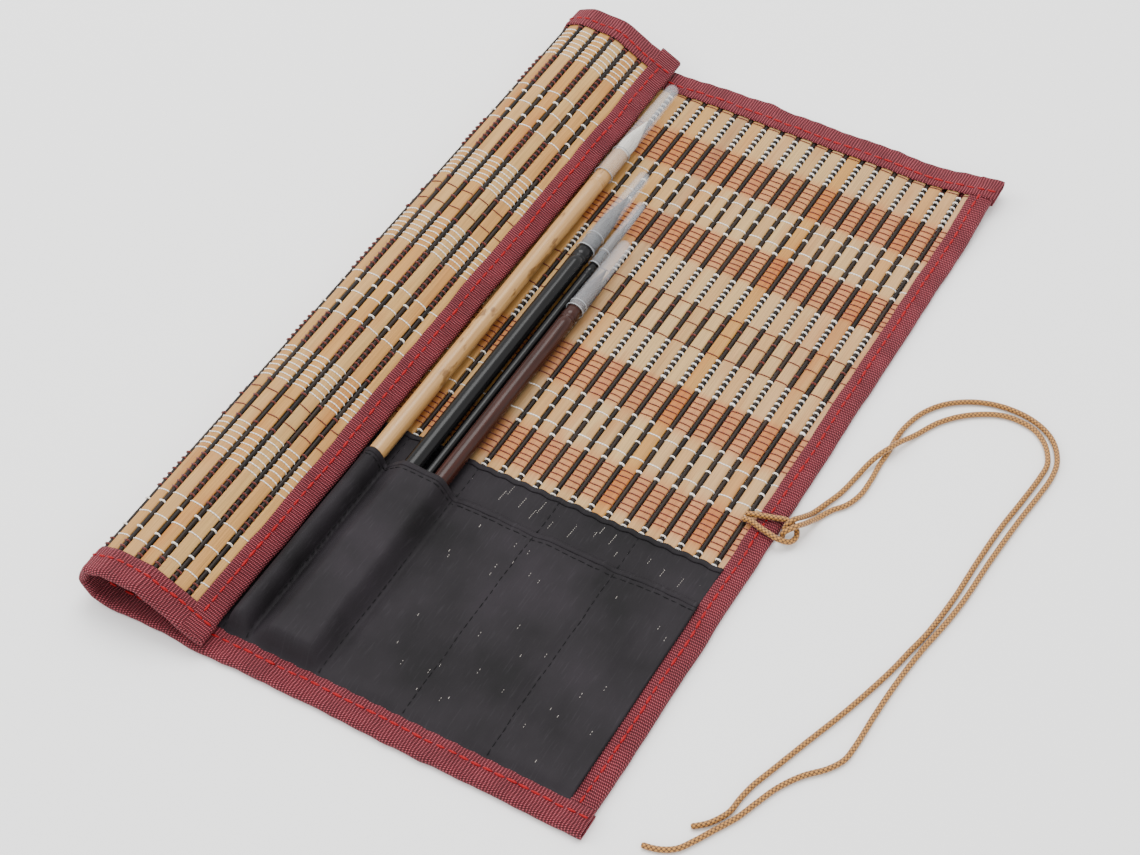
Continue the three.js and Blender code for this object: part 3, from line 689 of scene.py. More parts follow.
# From the mat's middle to the middle of the tape on its faces
TAPE_REACH = 1.25
FAR_EDGE = 163.2
FAR_TAPE_WIDTH = 11.6
NEAR_TAPE_WIDTH = 10.9
RIGHT_EDGE = 93.38
RIGHT_TAPE_WIDTH = 8.75
FREE_EDGE = FIRST_STICK - (LAST_SLAT - 1) * PITCH - 6.9
FREE_TAPE_WIDTH = 9.7
LAP_LIFT = 0.55
ROLL_START = FIRST_ROLLED - 0.5
# Joints of the roll: the bodies on each side, the stick between them and where the strip is cut
ROLL_JOINTS = [
    ("mat", "roll_slat_25", 24, ROLL_START, 24.5),
    ("roll_slat_25", "roll_slat_26", 25, 24.5, 25.5),
    ("roll_slat_26", "roll_slat_27", 26, 25.5, 26.5),
    ("roll_slat_27", "roll_slat_28", 27, 26.5, 27.5),
    ("roll_slat_28", "roll_slats_29_30", 28, 27.5, 28.5),
    ("roll_slats_29_30", "free_end", 30, 28.5, None),
]


def stick_place(number):
    """Place across the flat mat of a stick, or of the middle of a slat for a half number."""
    return FIRST_STICK - PITCH * number


def bend_with_roll(piece):
    """Bakes a strip's placing into its points; the strip stays unparented and does not turn with the bodies on
    the two sides of its stick.
    """
    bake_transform(piece)


def fold_section(width):
    """A tape folded over an edge, as a closed loop: across from its inner edge, up, and along it."""
    middle = [(0.0, TAPE_REACH, 0.0)]
    straight = width - TAPE_REACH - TAPE / 2
    for step in range(1, 9):
        middle.append((straight * step / 8, TAPE_REACH, straight * step / 8))
    for step in range(1, 8):
        angle = math.pi / 2 - math.pi * step / 8
        middle.append((straight + TAPE_REACH * math.cos(angle), TAPE_REACH * math.sin(angle),
                       straight + TAPE_REACH * (math.pi / 2 - angle)))
    total = 2 * straight + math.pi * TAPE_REACH
    for step in range(8, -1, -1):
        middle.append((straight * step / 8, -TAPE_REACH, total - straight * step / 8))
    outside, inside = [], []
    for number, (across, up, along) in enumerate(middle):
        a = middle[max(number - 1, 0)]
        b = middle[min(number + 1, len(middle) - 1)]
        reach = math.hypot(b[0] - a[0], b[1] - a[1])
        normal = (-(b[1] - a[1]) / reach, (b[0] - a[0]) / reach)
        thick = TAPE / 2 * (0.45 if number in (0, len(middle) - 1) else 1.0)
        outside.append((across + normal[0] * thick, up + normal[1] * thick, along))
        inside.append((across - normal[0] * thick, up - normal[1] * thick, along))
    return outside + inside[::-1]


def face_outward(piece, merge=0.0):
    """Turns a closed piece's faces outward, once points nearer than merge are one point."""
    shell = bmesh.new()
    shell.from_mesh(piece.data)
    if merge:
        bmesh.ops.remove_doubles(shell, verts=shell.verts[:], dist=merge)
    bmesh.ops.recalc_face_normals(shell, faces=shell.faces[:])
    shell.to_mesh(piece.data)
    shell.free()


def lay_out(piece, lay):
    """Gives a piece the UV map "lay", from a pair of metres for each of its points."""
    uv = piece.data.uv_layers.new(name="lay")
    for loop, corner in zip(piece.data.loops, uv.data):
        corner.uv = lay[loop.vertex_index]


def swept_strip(name, section, stations, place, material):
    """A closed strip: place(station, across, up) for each point of the section at each station."""
    points, faces, lay = [], [], []
    for station in stations:
        for across, up, along in section:
            points.append(place(station, across, up))
            lay.append((station * MM, along * MM))
    count = len(section)
    for ring in range(len(stations) - 1):
        for side in range(count):
            after = (side + 1) % count
            faces.append((ring * count + side, ring * count + after,
                          (ring + 1) * count + after, (ring + 1) * count + side))
    half = count // 2
    for ring, turned in ((0, False), (len(stations) - 1, True)):
        for side in range(half - 1):
            cap = (ring * count + side, ring * count + side + 1,
                   ring * count + count - 2 - side, ring * count + count - 1 - side)
            faces.append(cap if turned else tuple(reversed(cap)))
    made = new_piece(name, points, faces, material)
    face_outward(made)
    lay_out(made, lay)
    return made


def stations_between(start, end, step):
    """Evenly spaced places from start to end, no more than a step apart."""
    count = max(2, math.ceil(abs(end - start) / step))
    return [start + (end - start) * number / count for number in range(count + 1)]


# Ribbed tape: pale pink weft ribs 1.05 mm apart across a dark crimson ground, broken where the warp crosses
# them, matt with a weak sheen. The colour follows the weave's height: the pink on the rib crowns is partly the
# weft's colour and partly a painted highlight, and the near-black red in the hollows between ribs is painted
# shade.
ribbed_tape, tree, shader = new_material("ribbed_polyester_tape", Roughness=0.72, IOR=1.5,
                                         Specular_IOR_Level=0.25, Sheen_Weight=0.12, Sheen_Roughness=0.5,
                                         Sheen_Tint=linear("#E08088"))
RIB_PITCH = 1.05
WARP_PITCH = 0.62
lay = add(tree, "ShaderNodeUVMap", {"uv_map": "lay"})
sway = add(tree, "ShaderNodeTexNoise", {"noise_dimensions": "2D"},
           {"Vector": lay.outputs["UV"], "Scale": 260.0, "Detail": 1.0})
sway_centred = add(tree, "ShaderNodeMath", {"operation": "MULTIPLY_ADD"}, {0: sway.outputs["Fac"], 1: 0.0006,
                                                                         2: -0.0003})
axes = add(tree, "ShaderNodeSeparateXYZ", inputs={0: lay.outputs["UV"]})
swayed = add(tree, "ShaderNodeMath", {"operation": "ADD"}, {0: axes.outputs["X"], 1: sway_centred})
rib_turn = add(tree, "ShaderNodeMath", {"operation": "MULTIPLY"}, {0: swayed,
                                                                  1: 2 * math.pi / (RIB_PITCH * MM)})
rib = add(tree, "ShaderNodeMath", {"operation": "SINE"}, {0: rib_turn})
warp_turn = add(tree, "ShaderNodeMath", {"operation": "MULTIPLY"}, {0: axes.outputs["Y"],
                                                                   1: 2 * math.pi / (WARP_PITCH * MM)})
warp_shift = add(tree, "ShaderNodeMath", {"operation": "MULTIPLY_ADD"}, {0: rib_turn, 1: 0.5,
                                                                        2: warp_turn})
warp = add(tree, "ShaderNodeMath", {"operation": "SINE"}, {0: warp_shift})
cloth_height = add(tree, "ShaderNodeMath", {"operation": "MULTIPLY_ADD"}, {0: warp, 1: 1.05,
                                                                         2: rib})
weave_tone = add(tree, "ShaderNodeMapRange", inputs={"Value": cloth_height, "From Min": -1.5,
                                                     "From Max": 1.8})
# Painted light: height picks the colour, with near-black red in the hollows as painted shade and pale pink on
# the crowns, partly weft colour and partly painted highlight.
rib_colour_and_painted_light = add(tree, "ShaderNodeValToRGB", inputs={"Fac": weave_tone})
ramp = rib_colour_and_painted_light.color_ramp
ramp.elements[0].color = linear("#2A060C")
ramp.elements[1].color = linear("#B4646C")
ramp.elements.new(0.40).color = linear("#560C18")
ramp.elements.new(0.74).color = linear("#7E1C2A")
dye_place = add(tree, "ShaderNodeTexNoise", {"noise_dimensions": "2D"},
                {"Vector": lay.outputs["UV"], "Scale": 90.0, "Detail": 3.0})
dye = add(tree, "ShaderNodeMapRange",
          inputs={"Value": dye_place.outputs["Fac"], "From Min": 0.3, "From Max": 0.7, "To Min": 0.82,
                  "To Max": 1.1})
dyed = add(tree, "ShaderNodeVectorMath", {"operation": "SCALE"}, {0: rib_colour_and_painted_light.outputs["Color"],
                                                                 "Scale": dye})
tree.links.new(dyed.outputs[0], shader.inputs["Base Color"])
rib_relief = add(tree, "ShaderNodeBump", inputs={"Height": cloth_height, "Strength": 0.75,
                                                 "Distance": 0.00022})
tree.links.new(rib_relief.outputs[0], shader.inputs["Normal"])


def ripple(along, seed, size):
    """A slow wander of a sewn edge, in millimetres."""
    slow = noise.noise(Vector((along * 0.045, seed, 0.5)))
    return size * (slow + 0.5 * noise.noise(Vector((along * 0.14, seed, 7.5))))


def pressed(u, up):
    """Height over the mat's middle of a tape that is drawn down a little between the slats."""
    ridge = 0.5 - 0.5 * math.cos(2 * math.pi * (u - FIRST_STICK) / PITCH)
    return up - 0.22 * (1 - ridge) if up > 0 else up + 0.12 * (1 - ridge)


def across_far(u, across, up):
    """Where a point of the far tape's section lies, lapped over the right tape."""
    over_corner = LAP_LIFT if up > 0 and u > RIGHT_EDGE - RIGHT_TAPE_WIDTH else 0.0
    wave = 1.3 * math.exp(-((u + 4.0) / 5.5) ** 2)
    fold = across / FAR_TAPE_WIDTH
    y = FAR_EDGE - FAR_TAPE_WIDTH + across + ripple(u, 1.0, 0.8) * (0.5 + 0.5 * fold) + wave * fold - 0.4
    return on_mat(u, y, pressed(u, up) + over_corner)


def across_near(u, across, up):
    """Where a point of the near tape's section lies, lapped over the right tape."""
    over_corner = LAP_LIFT if up > 0 and u > RIGHT_EDGE - RIGHT_TAPE_WIDTH else 0.0
    fold = across / NEAR_TAPE_WIDTH
    slope = -1.6 * min(1.0, max(0.0, (u + 40) / 120))
    y = -(FAR_EDGE - NEAR_TAPE_WIDTH + across) - ripple(u, 4.0, 0.8) * (0.4 + 0.6 * fold)
    return on_mat(u, y + slope * (1 - 0.5 * fold), pressed(u, up) + over_corner)


def across_right(y, across, up):
    """Where a point of the right tape's section lies."""
    over_slat = 0.0 if across > 3 or up < 0 else 0.05
    return on_mat(RIGHT_EDGE - RIGHT_TAPE_WIDTH + across + ripple(y, 7.0, 0.35), y, up + over_slat)


def across_free(y, across, up):
    """Where a point of the section of the free, rolled edge's tape lies."""
    return on_mat(FREE_EDGE + FREE_TAPE_WIDTH - across - ripple(y, 9.0, 0.45), y, up)


LAPS = {"far": (fold_section(FAR_TAPE_WIDTH), across_far, "binding_far"),
        "near": (fold_section(NEAR_TAPE_WIDTH), across_near, "binding_near")}
for side, (section, place, cad_name) in LAPS.items():
    stations = stations_between(RIGHT_EDGE + 0.4, stick_place(ROLL_START), 0.85)
    flat_tape = swept_strip("tape_" + side, section, stations, place, ribbed_tape)
    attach(flat_tape, "mat")
    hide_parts(cad_name)
    for joint in ROLL_JOINTS:
        cut_from, cut_to = joint[3:]
        end = FREE_EDGE + 1.2 if cut_to is None else stick_place(cut_to)
        rolled_tape = swept_strip("tape_%s_roll_%d" % (side, joint[2]), section,
                                  stations_between(stick_place(cut_from), end, 0.6), place, ribbed_tape)
        bend_with_roll(rolled_tape)
        if joint[0] == "mat":
            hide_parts(cad_name + "_roll")

right_tape = swept_strip("tape_right", fold_section(RIGHT_TAPE_WIDTH), stations_between(-161.0, 161.0, 1.3),
                         across_right, ribbed_tape)
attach(right_tape, "mat")
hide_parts("binding_right")
free_tape = swept_strip("tape_free_edge", fold_section(FREE_TAPE_WIDTH), stations_between(-162.6, 163.8, 1.3),
                        across_free, ribbed_tape)
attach(free_tape, "free_end")
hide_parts("binding_free")


def stitch_tree():
    """Geometry Nodes: rounded stitches laid end to end along a path of edges."""
    tree, given = new_tree("sewn_stitches", ["Spacing", "Stitch Length", "Stitch Width"], ["Seed"])
    curve = add(tree, "GeometryNodeMeshToCurve", inputs={"Mesh": given.outputs["Places"]})
    spots = add(tree, "GeometryNodeResampleCurve", {"mode": "LENGTH"}, {"Curve": curve,
                                                                       "Length": given.outputs["Spacing"]})
    tangent = add(tree, "GeometryNodeInputTangent")
    turned = add(tree, "FunctionNodeAlignRotationToVector", {"axis": "X"}, {"Vector": tangent})
    ball = add(tree, "GeometryNodeMeshUVSphere", inputs={"Segments": 8, "Rings": 6, "Radius": 0.5})
    size = add(tree, "ShaderNodeCombineXYZ", inputs={"X": given.outputs["Stitch Length"],
                                                     "Y": given.outputs["Stitch Width"],
                                                     "Z": given.outputs["Stitch Width"]})
    uneven = add(tree, "FunctionNodeRandomValue", {"data_type": "FLOAT"}, {2: 0.82, 3: 1.08,
                                                                         "Seed": given.outputs["Seed"]})
    scaled = add(tree, "ShaderNodeVectorMath", {"operation": "SCALE"}, {0: size,
                                                                      "Scale": uneven.outputs[1]})
    copies = add(tree, "GeometryNodeInstanceOnPoints", inputs={
        "Points": spots, "Instance": ball, "Rotation": turned,
        "Scale": scaled})
    real = add(tree, "GeometryNodeRealizeInstances", inputs={0: copies})
    finish_tree(tree, given, real)
    return tree


def sewn(name, paths, spacing, length, width, material, seed=1):
    """Stitches along paths of points in metres, as one plain mesh."""
    mesh = bpy.data.meshes.new(name + "_paths")
    points, edges = [], []
    for path in paths:
        edges += [(len(points) + n, len(points) + n + 1) for n in range(len(path) - 1)]
        points += [tuple(p) for p in path]
    mesh.from_pydata(points, edges, [])
    sizes = {"Spacing": spacing * MM, "Stitch Length": length * MM, "Stitch Width": width * MM, "Seed": seed,
             "Material": material}
    return run_tree(name, mesh, stitches, sizes)


# Bright red polyester sewing thread, smooth with a slight gloss.
stitches = stitch_tree()
red_thread, *_ = mottled("polyester_thread_red", (2500.0, 2500.0, 2500.0), ("#6E0208", "#A8060E"),
                         Roughness=0.45, IOR=1.5, Specular_IOR_Level=0.2)

STITCH_IN = 3.9
STITCH_UP = TAPE_REACH + TAPE / 2 + 0.02
# Spacing, length and width of the stitches on the flat mat and on the roll
LONG_STITCH = (4.2, 3.9, 0.95)
ROLL_STITCH = (3.4, 3.2, 0.95)
# Face of the mat that the stitches show on, and how far above or below its middle they lie
for face, up in (("front", STITCH_UP), ("back", -STITCH_UP)):
    for side, (section, place, cad_name) in LAPS.items():
        path = [place(u, STITCH_IN + ripple(u, 12.0, 0.5), up)
                for u in stations_between(RIGHT_EDGE - 2.0, stick_place(ROLL_START), 1.5)]
        seam = sewn("stitches_%s_%s" % (side, face), [path], *LONG_STITCH, red_thread)
        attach(seam, "mat")
        for joint in ROLL_JOINTS:
            cut_from, cut_to = joint[3:]
            end = FREE_EDGE + 3.0 if cut_to is None else stick_place(cut_to)
            path = [place(u, STITCH_IN + ripple(u, 12.0, 0.5), up)
                    for u in stations_between(stick_place(cut_from) - 0.3, end, 0.7)]
            seam = sewn("stitches_%s_%s_roll_%d" % (side, face, joint[2]), [path], *ROLL_STITCH, red_thread)
            bend_with_roll(seam)
    path = [across_right(y, 3.4 + ripple(y, 14.0, 0.3), up) for y in stations_between(-152.0, 151.0, 2.0)]
    seam = sewn("stitches_right_" + face, [path], *LONG_STITCH, red_thread)
    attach(seam, "mat")
    path = [across_free(y, 3.6 + ripple(y, 15.0, 0.3), up) for y in stations_between(-152.0, 152.0, 2.0)]
    seam = sewn("stitches_free_edge_" + face, [path], *LONG_STITCH, red_thread)
    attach(seam, "free_end")

# ---- Pocket ------------------------------------------------------------------------------
# Two layers of thin near-black cotton sateen are sewn across the near end: a lining on the
# slats and a lower front panel, stitched down in channels. The left channels hold four brushes.
LINING_UNDER = 2.66
LINING_THICK = 0.34
PANEL_UNDER = 3.14
PANEL_THICK = 0.36
LINING_TOP_Y = -52.8
PANEL_TOP_Y = -69.6
POCKET_END_Y = -156.5
TUCK_Y = -150.8
POCKET_RIGHT = 84.9
SEAMS = [54.4, 23.7, -7.4, -35.1, -44.0]
HANDLE_END_Y = -147.8
# x is the place across, radius the handle's and rim and tip the cap's; the rest are places along:
# the cap's rim, the end of the neck, the tuft's tip and the cap's tip
Brush = namedtuple("Brush", "name x radius rim tip cap_y neck_y tuft_y tip_y")
BRUSHES = [
    Brush("bamboo", -39.44, 3.25, 3.75, 2.75, 90.5, 104.2, 125.7, 148.4),
    Brush("black", -25.64, 3.35, 3.7, 2.4, 51.8, 59.1, 85.2, 99.2),
    Brush("slim", -19.59, 2.0, 2.3, 1.8, 47.7, 55.3, 73.2, 85.6),
    Brush("brown", -14.04, 3.1, 3.45, 2.65, 23.5, 26.3, 47.2, 63.2),
]
BRUSH_CLEARANCE = 0.3


def brush_axis(brush):
    """Height of a brush's axis at its lower end, and how fast it rises along the brush."""
    low = 3.1 + brush.radius
    high = 3.5 + brush.rim
    return low, (high - low) / (brush.cap_y - HANDLE_END_Y)


def tent(points):
    """The line that a cloth stretched over points (across, height) takes, from left to right."""
    hull = []
    for point in sorted(points):
        while len(hull) > 1:
            (ax, az), (bx, bz) = hull[-2:]
            if (bx - ax) * (point[1] - az) - (bz - az) * (point[0] - ax) < 0:
                break
            hull.pop()
        hull.append(point)
    return hull


panel_line = []
edges = [-90.0] + SEAMS[::-1] + [90.0]
for low, high in zip(edges, edges[1:]):
    over = [(low, PANEL_UNDER), (high, PANEL_UNDER)]
    for brush in BRUSHES:
        if low < brush.x < high:
            start, rise = brush_axis(brush)
            centre = start + rise * (PANEL_TOP_Y - HANDLE_END_Y)
            reach = brush.radius + BRUSH_CLEARANCE
            for angle in [math.pi * step / 16 for step in range(17)]:
                over.append((brush.x + reach * math.cos(angle), centre + reach * math.sin(angle)))
    panel_line += tent(over)


def panel_rise(x):
    """Height of the panel over its sewn level, across the pocket, where the brushes lift it."""
    for (ax, az), (bx, bz) in zip(panel_line, panel_line[1:]):
        if ax <= x <= bx and bx > ax:
            return az + (bz - az) * (x - ax) / (bx - ax) - PANEL_UNDER
    return 0.0


def slat_ridge(u):
    """0 between slats to 1 over them: how the mat's ridges show through thin cloth."""
    return 0.5 - 0.5 * math.cos(2 * math.pi * (u - FIRST_STICK) / PITCH)


def tucked(y):
    """How far the pocket's layers go down where the near tape covers their ends."""
    return 0.72 * ease((TUCK_Y - y) / 3.0)


def panel_height(x, y):
    """Underside of the front panel, with its sag, its pulls beside the seams and soft creases."""
    end = ease((y + 153.4) / (HANDLE_END_Y + 153.0))
    rise = 0.0
    if abs(x + 27) < 30:
        rise = max(panel_rise(x), 0.6 * panel_rise(x - 0.6) + 0.4 * panel_rise(x + 0.6))
    seam = min(abs(x - place) for place in SEAMS)
    free = ease(seam / 5.0) * end
    crease = noise.noise(Vector((x * 0.11, y * 0.022, 3.0)))
    crease += 0.5 * noise.noise(Vector((x * 0.3, y * 0.05, 9.0)))
    pull = noise.noise(Vector(((x + 0.35 * y) * 0.16, y * 0.03, 21.0)))
    puff = 0.55 * free * (0.6 + 0.5 * noise.noise(Vector((x * 0.05, y * 0.03, 5.0))))
    mouth = 0.5 * free * ease((y + 84.0) / 14.0)
    low = 0.12 * slat_ridge(x) if rise < 0.2 else 0.0
    lift = puff + mouth + 0.34 * free * crease + 0.3 * free * pull + low
    return PANEL_UNDER + rise * end + max(0.0, lift) - tucked(y)


def cloth_sheet(name, across, along, under, thick, material):
    """A closed thin sheet on a grid of places across and along, over the height of its underside."""
    points, faces, lay = [], [], []
    for layer in (0, 1):
        for y in along:
            for x in across:
                points.append(on_mat(x, y, under(x, y) + thick * layer - MID_HEIGHT))
                lay.append((x * MM, y * MM))
    columns, rows = len(across), len(along)
    top = columns * rows
    for row in range(rows - 1):
        for column in range(columns - 1):
            a = row * columns + column
            faces.append((a, a + 1, a + columns + 1, a + columns))
            faces.append((top + a, top + a + columns, top + a + columns + 1, top + a + 1))
    for row in range(rows - 1):
        for column in (0, columns - 1):
            a = row * columns + column
            faces.append((a, a + columns, top + a + columns, top + a))
    for column in range(columns - 1):
        for row in (0, rows - 1):
            a = row * columns + column
            faces.append((a, a + 1, top + a + 1, top + a))
    made = new_piece(name, points, faces, material)
    face_outward(made)
    lay_out(made, lay)
    return made


# Cotton sateen: near black with a faint warm cast, a close weave and a soft satin sheen on
# the raised folds, with a few pale slubs and specks of lint.
sateen, tree, shader = new_material("cotton_sateen_black", Roughness=0.62, IOR=1.47, Specular_IOR_Level=0.14,
                                    Sheen_Weight=0.05, Sheen_Roughness=0.42, Sheen_Tint=linear("#7A7478"))
lay = add(tree, "ShaderNodeUVMap", {"uv_map": "lay"})
axes = add(tree, "ShaderNodeSeparateXYZ", inputs={0: lay.outputs["UV"]})
THREAD_PITCH = 0.55
waves = []
for axis in ("X", "Y"):
    turn = add(tree, "ShaderNodeMath", {"operation": "MULTIPLY"},
               {0: axes.outputs[axis], 1: 2 * math.pi / (THREAD_PITCH * MM)})
    waves.append(add(tree, "ShaderNodeMath", {"operation": "SINE"}, {0: turn}))
weave = add(tree, "ShaderNodeMath", {"operation": "MULTIPLY"}, {0: waves[0], 1: waves[1]})
fade = add(tree, "ShaderNodeTexNoise", {"noise_dimensions": "2D"},
           {"Vector": lay.outputs["UV"], "Scale": 28.0, "Detail": 3.0})
ground = add(tree, "ShaderNodeValToRGB", inputs={"Fac": fade.outputs["Fac"]})
ground.color_ramp.elements[0].position = 0.3
ground.color_ramp.elements[0].color = linear("#141214")
ground.color_ramp.elements[1].position = 0.75
ground.color_ramp.elements[1].color = linear("#262226")
slub_place = add(tree, "ShaderNodeMapping",
                 inputs={"Vector": lay.outputs["UV"], "Scale": (1500.0, 120.0, 1.0)})
slub = add(tree, "ShaderNodeTexNoise", {"noise_dimensions": "2D"}, {"Vector": slub_place, "Scale": 1.0})
slub_share = add(tree, "ShaderNodeMapRange", inputs={"Value": slub.outputs["Fac"], "From Min": 0.6,
                                                     "From Max": 0.95, "To Max": 0.08})
slubbed = add(tree, "ShaderNodeMix", {"data_type": "RGBA"},
              {0: slub_share, 6: ground.outputs["Color"], 7: linear("#6A666C")})
tree.links.new(slubbed.outputs[2], shader.inputs["Base Color"])
weave_relief = add(tree, "ShaderNodeBump", inputs={"Height": weave, "Strength": 0.3,
                                                   "Distance": 0.00008})
tree.links.new(weave_relief.outputs[0], shader.inputs["Normal"])

lining_rows = stations_between(POCKET_END_Y, LINING_TOP_Y, 2.0)
panel_rows = stations_between(POCKET_END_Y, PANEL_TOP_Y, 1.3)
flat_columns = stations_between(stick_place(ROLL_START), POCKET_RIGHT, 0.85)


def lining_under(x, y):
    """Underside of the lining, with the ridges of the slats under it."""
    return LINING_UNDER + 0.1 * slat_ridge(x) + 0.25 * ease((y + 58.0) / 5.0) * slat_ridge(x) - tucked(y)


lining = cloth_sheet("pocket_lining_cloth", flat_columns, lining_rows, lining_under, LINING_THICK, sateen)
panel = cloth_sheet("pocket_panel_cloth", flat_columns, panel_rows, panel_height, PANEL_THICK, sateen)
for layer, cad_name in ((lining, "pocket_lining"), (panel, "pocket_panel")):
    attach(layer, "mat")
    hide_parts(cad_name)

ROLL_ROWS = [POCKET_END_Y, -154.0, TUCK_Y, -130.0, -110.0, -90.0]
ROLL_LAYERS = [("lining", ROLL_ROWS + [-70.0, LINING_TOP_Y], LINING_UNDER),
               ("panel", ROLL_ROWS + [PANEL_TOP_Y], PANEL_UNDER)]
rolled = {"lining": [], "panel": []}
for joint in ROLL_JOINTS:
    cut_from, cut_to = joint[3:]
    end = FREE_EDGE + FREE_TAPE_WIDTH - 1.0 if cut_to is None else stick_place(cut_to)
    columns = stations_between(stick_place(cut_from), end, 0.6)
    for layer, rows, under in ROLL_LAYERS:
        strip = cloth_sheet("pocket_%s_roll_%d" % (layer, joint[2]), columns, rows,
                            lambda x, y, under=under: under - tucked(y), 0.3, sateen)
        bend_with_roll(strip)
        if joint[0] == "mat":
            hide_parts("pocket_%s_roll" % layer)
        rolled[layer].append(strip)


HEM_REACH = 1.15


def hem_roll(name, y_at, height_at, radius):
    """The turned-over free edge of a pocket layer, as a soft flattened roll along the edge."""
    line = stations_between(stick_place(ROLL_START + 0.1), POCKET_RIGHT, 0.9)
    points, faces = [], []
    sides = 8
    for x in line:
        y, z = y_at(x), height_at(x)
        for side in range(sides):
            angle = 2 * math.pi * side / sides
            above = z + radius * math.sin(angle) - MID_HEIGHT
            points.append(on_mat(x, y + HEM_REACH * math.cos(angle), above))
    for ring in range(len(line) - 1):
        for side in range(sides):
            after = (side + 1) % sides
            faces.append((ring * sides + side, ring * sides + after,
                          (ring + 1) * sides + after, (ring + 1) * sides + side))
    faces += [tuple(reversed(range(sides))), tuple(range((len(line) - 1) * sides, len(line) * sides))]
    made = new_piece(name, points, faces, sateen)
    face_outward(made)
    lay_out(made, [vertex.co.xy for vertex in made.data.vertices])
    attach(made, "mat")


hem_roll("pocket_lining_hem", lambda x: LINING_TOP_Y - 0.6 + 0.35 * slat_ridge(x) + ripple(x, 20.0, 0.4),
         lambda x: lining_under(x, LINING_TOP_Y) + 0.42, 0.42)
hem_roll("pocket_panel_hem", lambda x: PANEL_TOP_Y - 0.7 + ripple(x, 22.0, 0.3),
         lambda x: panel_height(x, PANEL_TOP_Y) + 0.3, 0.36)

# Black cotton sewing thread: matt, slightly darker than the cloth.
black_thread, *_ = mottled("cotton_thread_black", (2500.0, 2500.0, 2500.0), ("#060607", "#151416"),
                           Roughness=0.7, IOR=1.47, Specular_IOR_Level=0.15)



def on_panel(x, y, lift):
    """A place above the front panel's upper face."""
    return on_mat(x, y, panel_height(x, y) + PANEL_THICK + lift - MID_HEIGHT)


seam_paths = []
for place in SEAMS:
    lower, upper = [], []
    for y in stations_between(-151.5, PANEL_TOP_Y, 1.5):
        above = panel_height(place, y) + PANEL_THICK + 0.02 - MID_HEIGHT
        lower.append(on_mat(place + ripple(y, place, 0.5), y, above))
    for y in stations_between(PANEL_TOP_Y + 1.5, LINING_TOP_Y - 1.5, 1.5):
        above = lining_under(place, y) + LINING_THICK - MID_HEIGHT
        upper.append(on_mat(place + ripple(y, place, 0.5), y, above))
    seam_paths += [lower, upper]
hem_row = [(x, PANEL_TOP_Y - 3.2 + ripple(x, 24.0, 0.35)) for x in stations_between(-76.0, 83.5, 0.8)]
seam_paths.append([on_panel(x, y, 0.02) for x, y in hem_row])
pocket_seams = sewn("stitches_pocket", seam_paths, 3.1, 2.6, 0.42, black_thread, 3)
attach(pocket_seams, "mat")

# Pale slubs of undyed yarn that lie on the cloth, most of them in the lining's open band.
lint_yarn, *_ = mottled("undyed_cotton_slub", (900.0, 900.0, 900.0), ("#77706A", "#D8D2C8"), Roughness=0.85,
                        IOR=1.47)
chance = random.Random(11)
slub_paths = []
for x in (5.5, 7.0, 13.0, 18.5, 19.6, 26.0, 33.5, 41.0, 42.2, 47.0, 51.0, 62.0, 68.0, 75.0):
    start = chance.uniform(-66.0, -58.5)
    reach = chance.uniform(1.5, 6.0)
    above = lining_under(x, start) + LINING_THICK + 0.03 - MID_HEIGHT
    slub_paths.append([on_mat(x + 0.02 * step * reach, start + reach * step / 4, above)
                       for step in range(5)])
for _ in range(34):
    x, y = chance.uniform(-2.0, 82.0), chance.uniform(-148.0, -76.0)
    reach = chance.uniform(0.3, 1.5)
    slub_paths.append([on_panel(x, y + reach * step / 2, 0.03) for step in range(3)])
slubs = sewn("pocket_slubs", slub_paths, 0.75, 0.62, 0.17, lint_yarn, 5)
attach(slubs, "mat")

# ---- Brush handles -----------------------------------------------------------------------
# Four writing brushes with turned handles: one of plain thin bamboo, two lacquered black and one
# lacquered red-brown. Each narrows to a neck, marked by fine turned rings, that carries the cap.
NECK_INSET = 0.55
TURN_SIDES = 40


def brush_frame(brush):
    """Places a piece made along +Y from the handle's lower end where the brush lies, in metres."""
    low, rise = brush_axis(brush)
    lower_end = Vector((brush.x, HANDLE_END_Y, low)) * MM
    return Matrix.Translation(lower_end) @ Matrix.Rotation(math.atan(rise), 4, "X")


def turned(name, profile, material, where_to, wobble=None):
    """A solid of revolution about Y from a closed profile of (radius, along) in millimetres."""
    points, faces = [], []
    rings = []
    for radius, along in profile:
        if radius < 1e-6:
            rings.append([len(points)])
            points.append(where_to @ (Vector((0, along, 0)) * MM))
            continue
        ring = []
        for side in range(TURN_SIDES):
            angle = 2 * math.pi * side / TURN_SIDES
            reach = radius * (wobble(along, angle) if wobble else 1.0)
            ring.append(len(points))
            points.append(where_to @ (Vector((reach * math.cos(angle), along, reach * math.sin(angle))) * MM))
        rings.append(ring)
    for first, second in zip(rings, rings[1:]):
        for side in range(TURN_SIDES):
            after = (side + 1) % TURN_SIDES
            if len(first) == 1:
                faces.append((first[0], second[after], second[side]))
            elif len(second) == 1:
                faces.append((first[side], first[after], second[0]))
            else:
                faces.append((first[side], first[after], second[after], second[side]))
    made = new_piece(name, points, faces, material)
    face_outward(made)
    return made


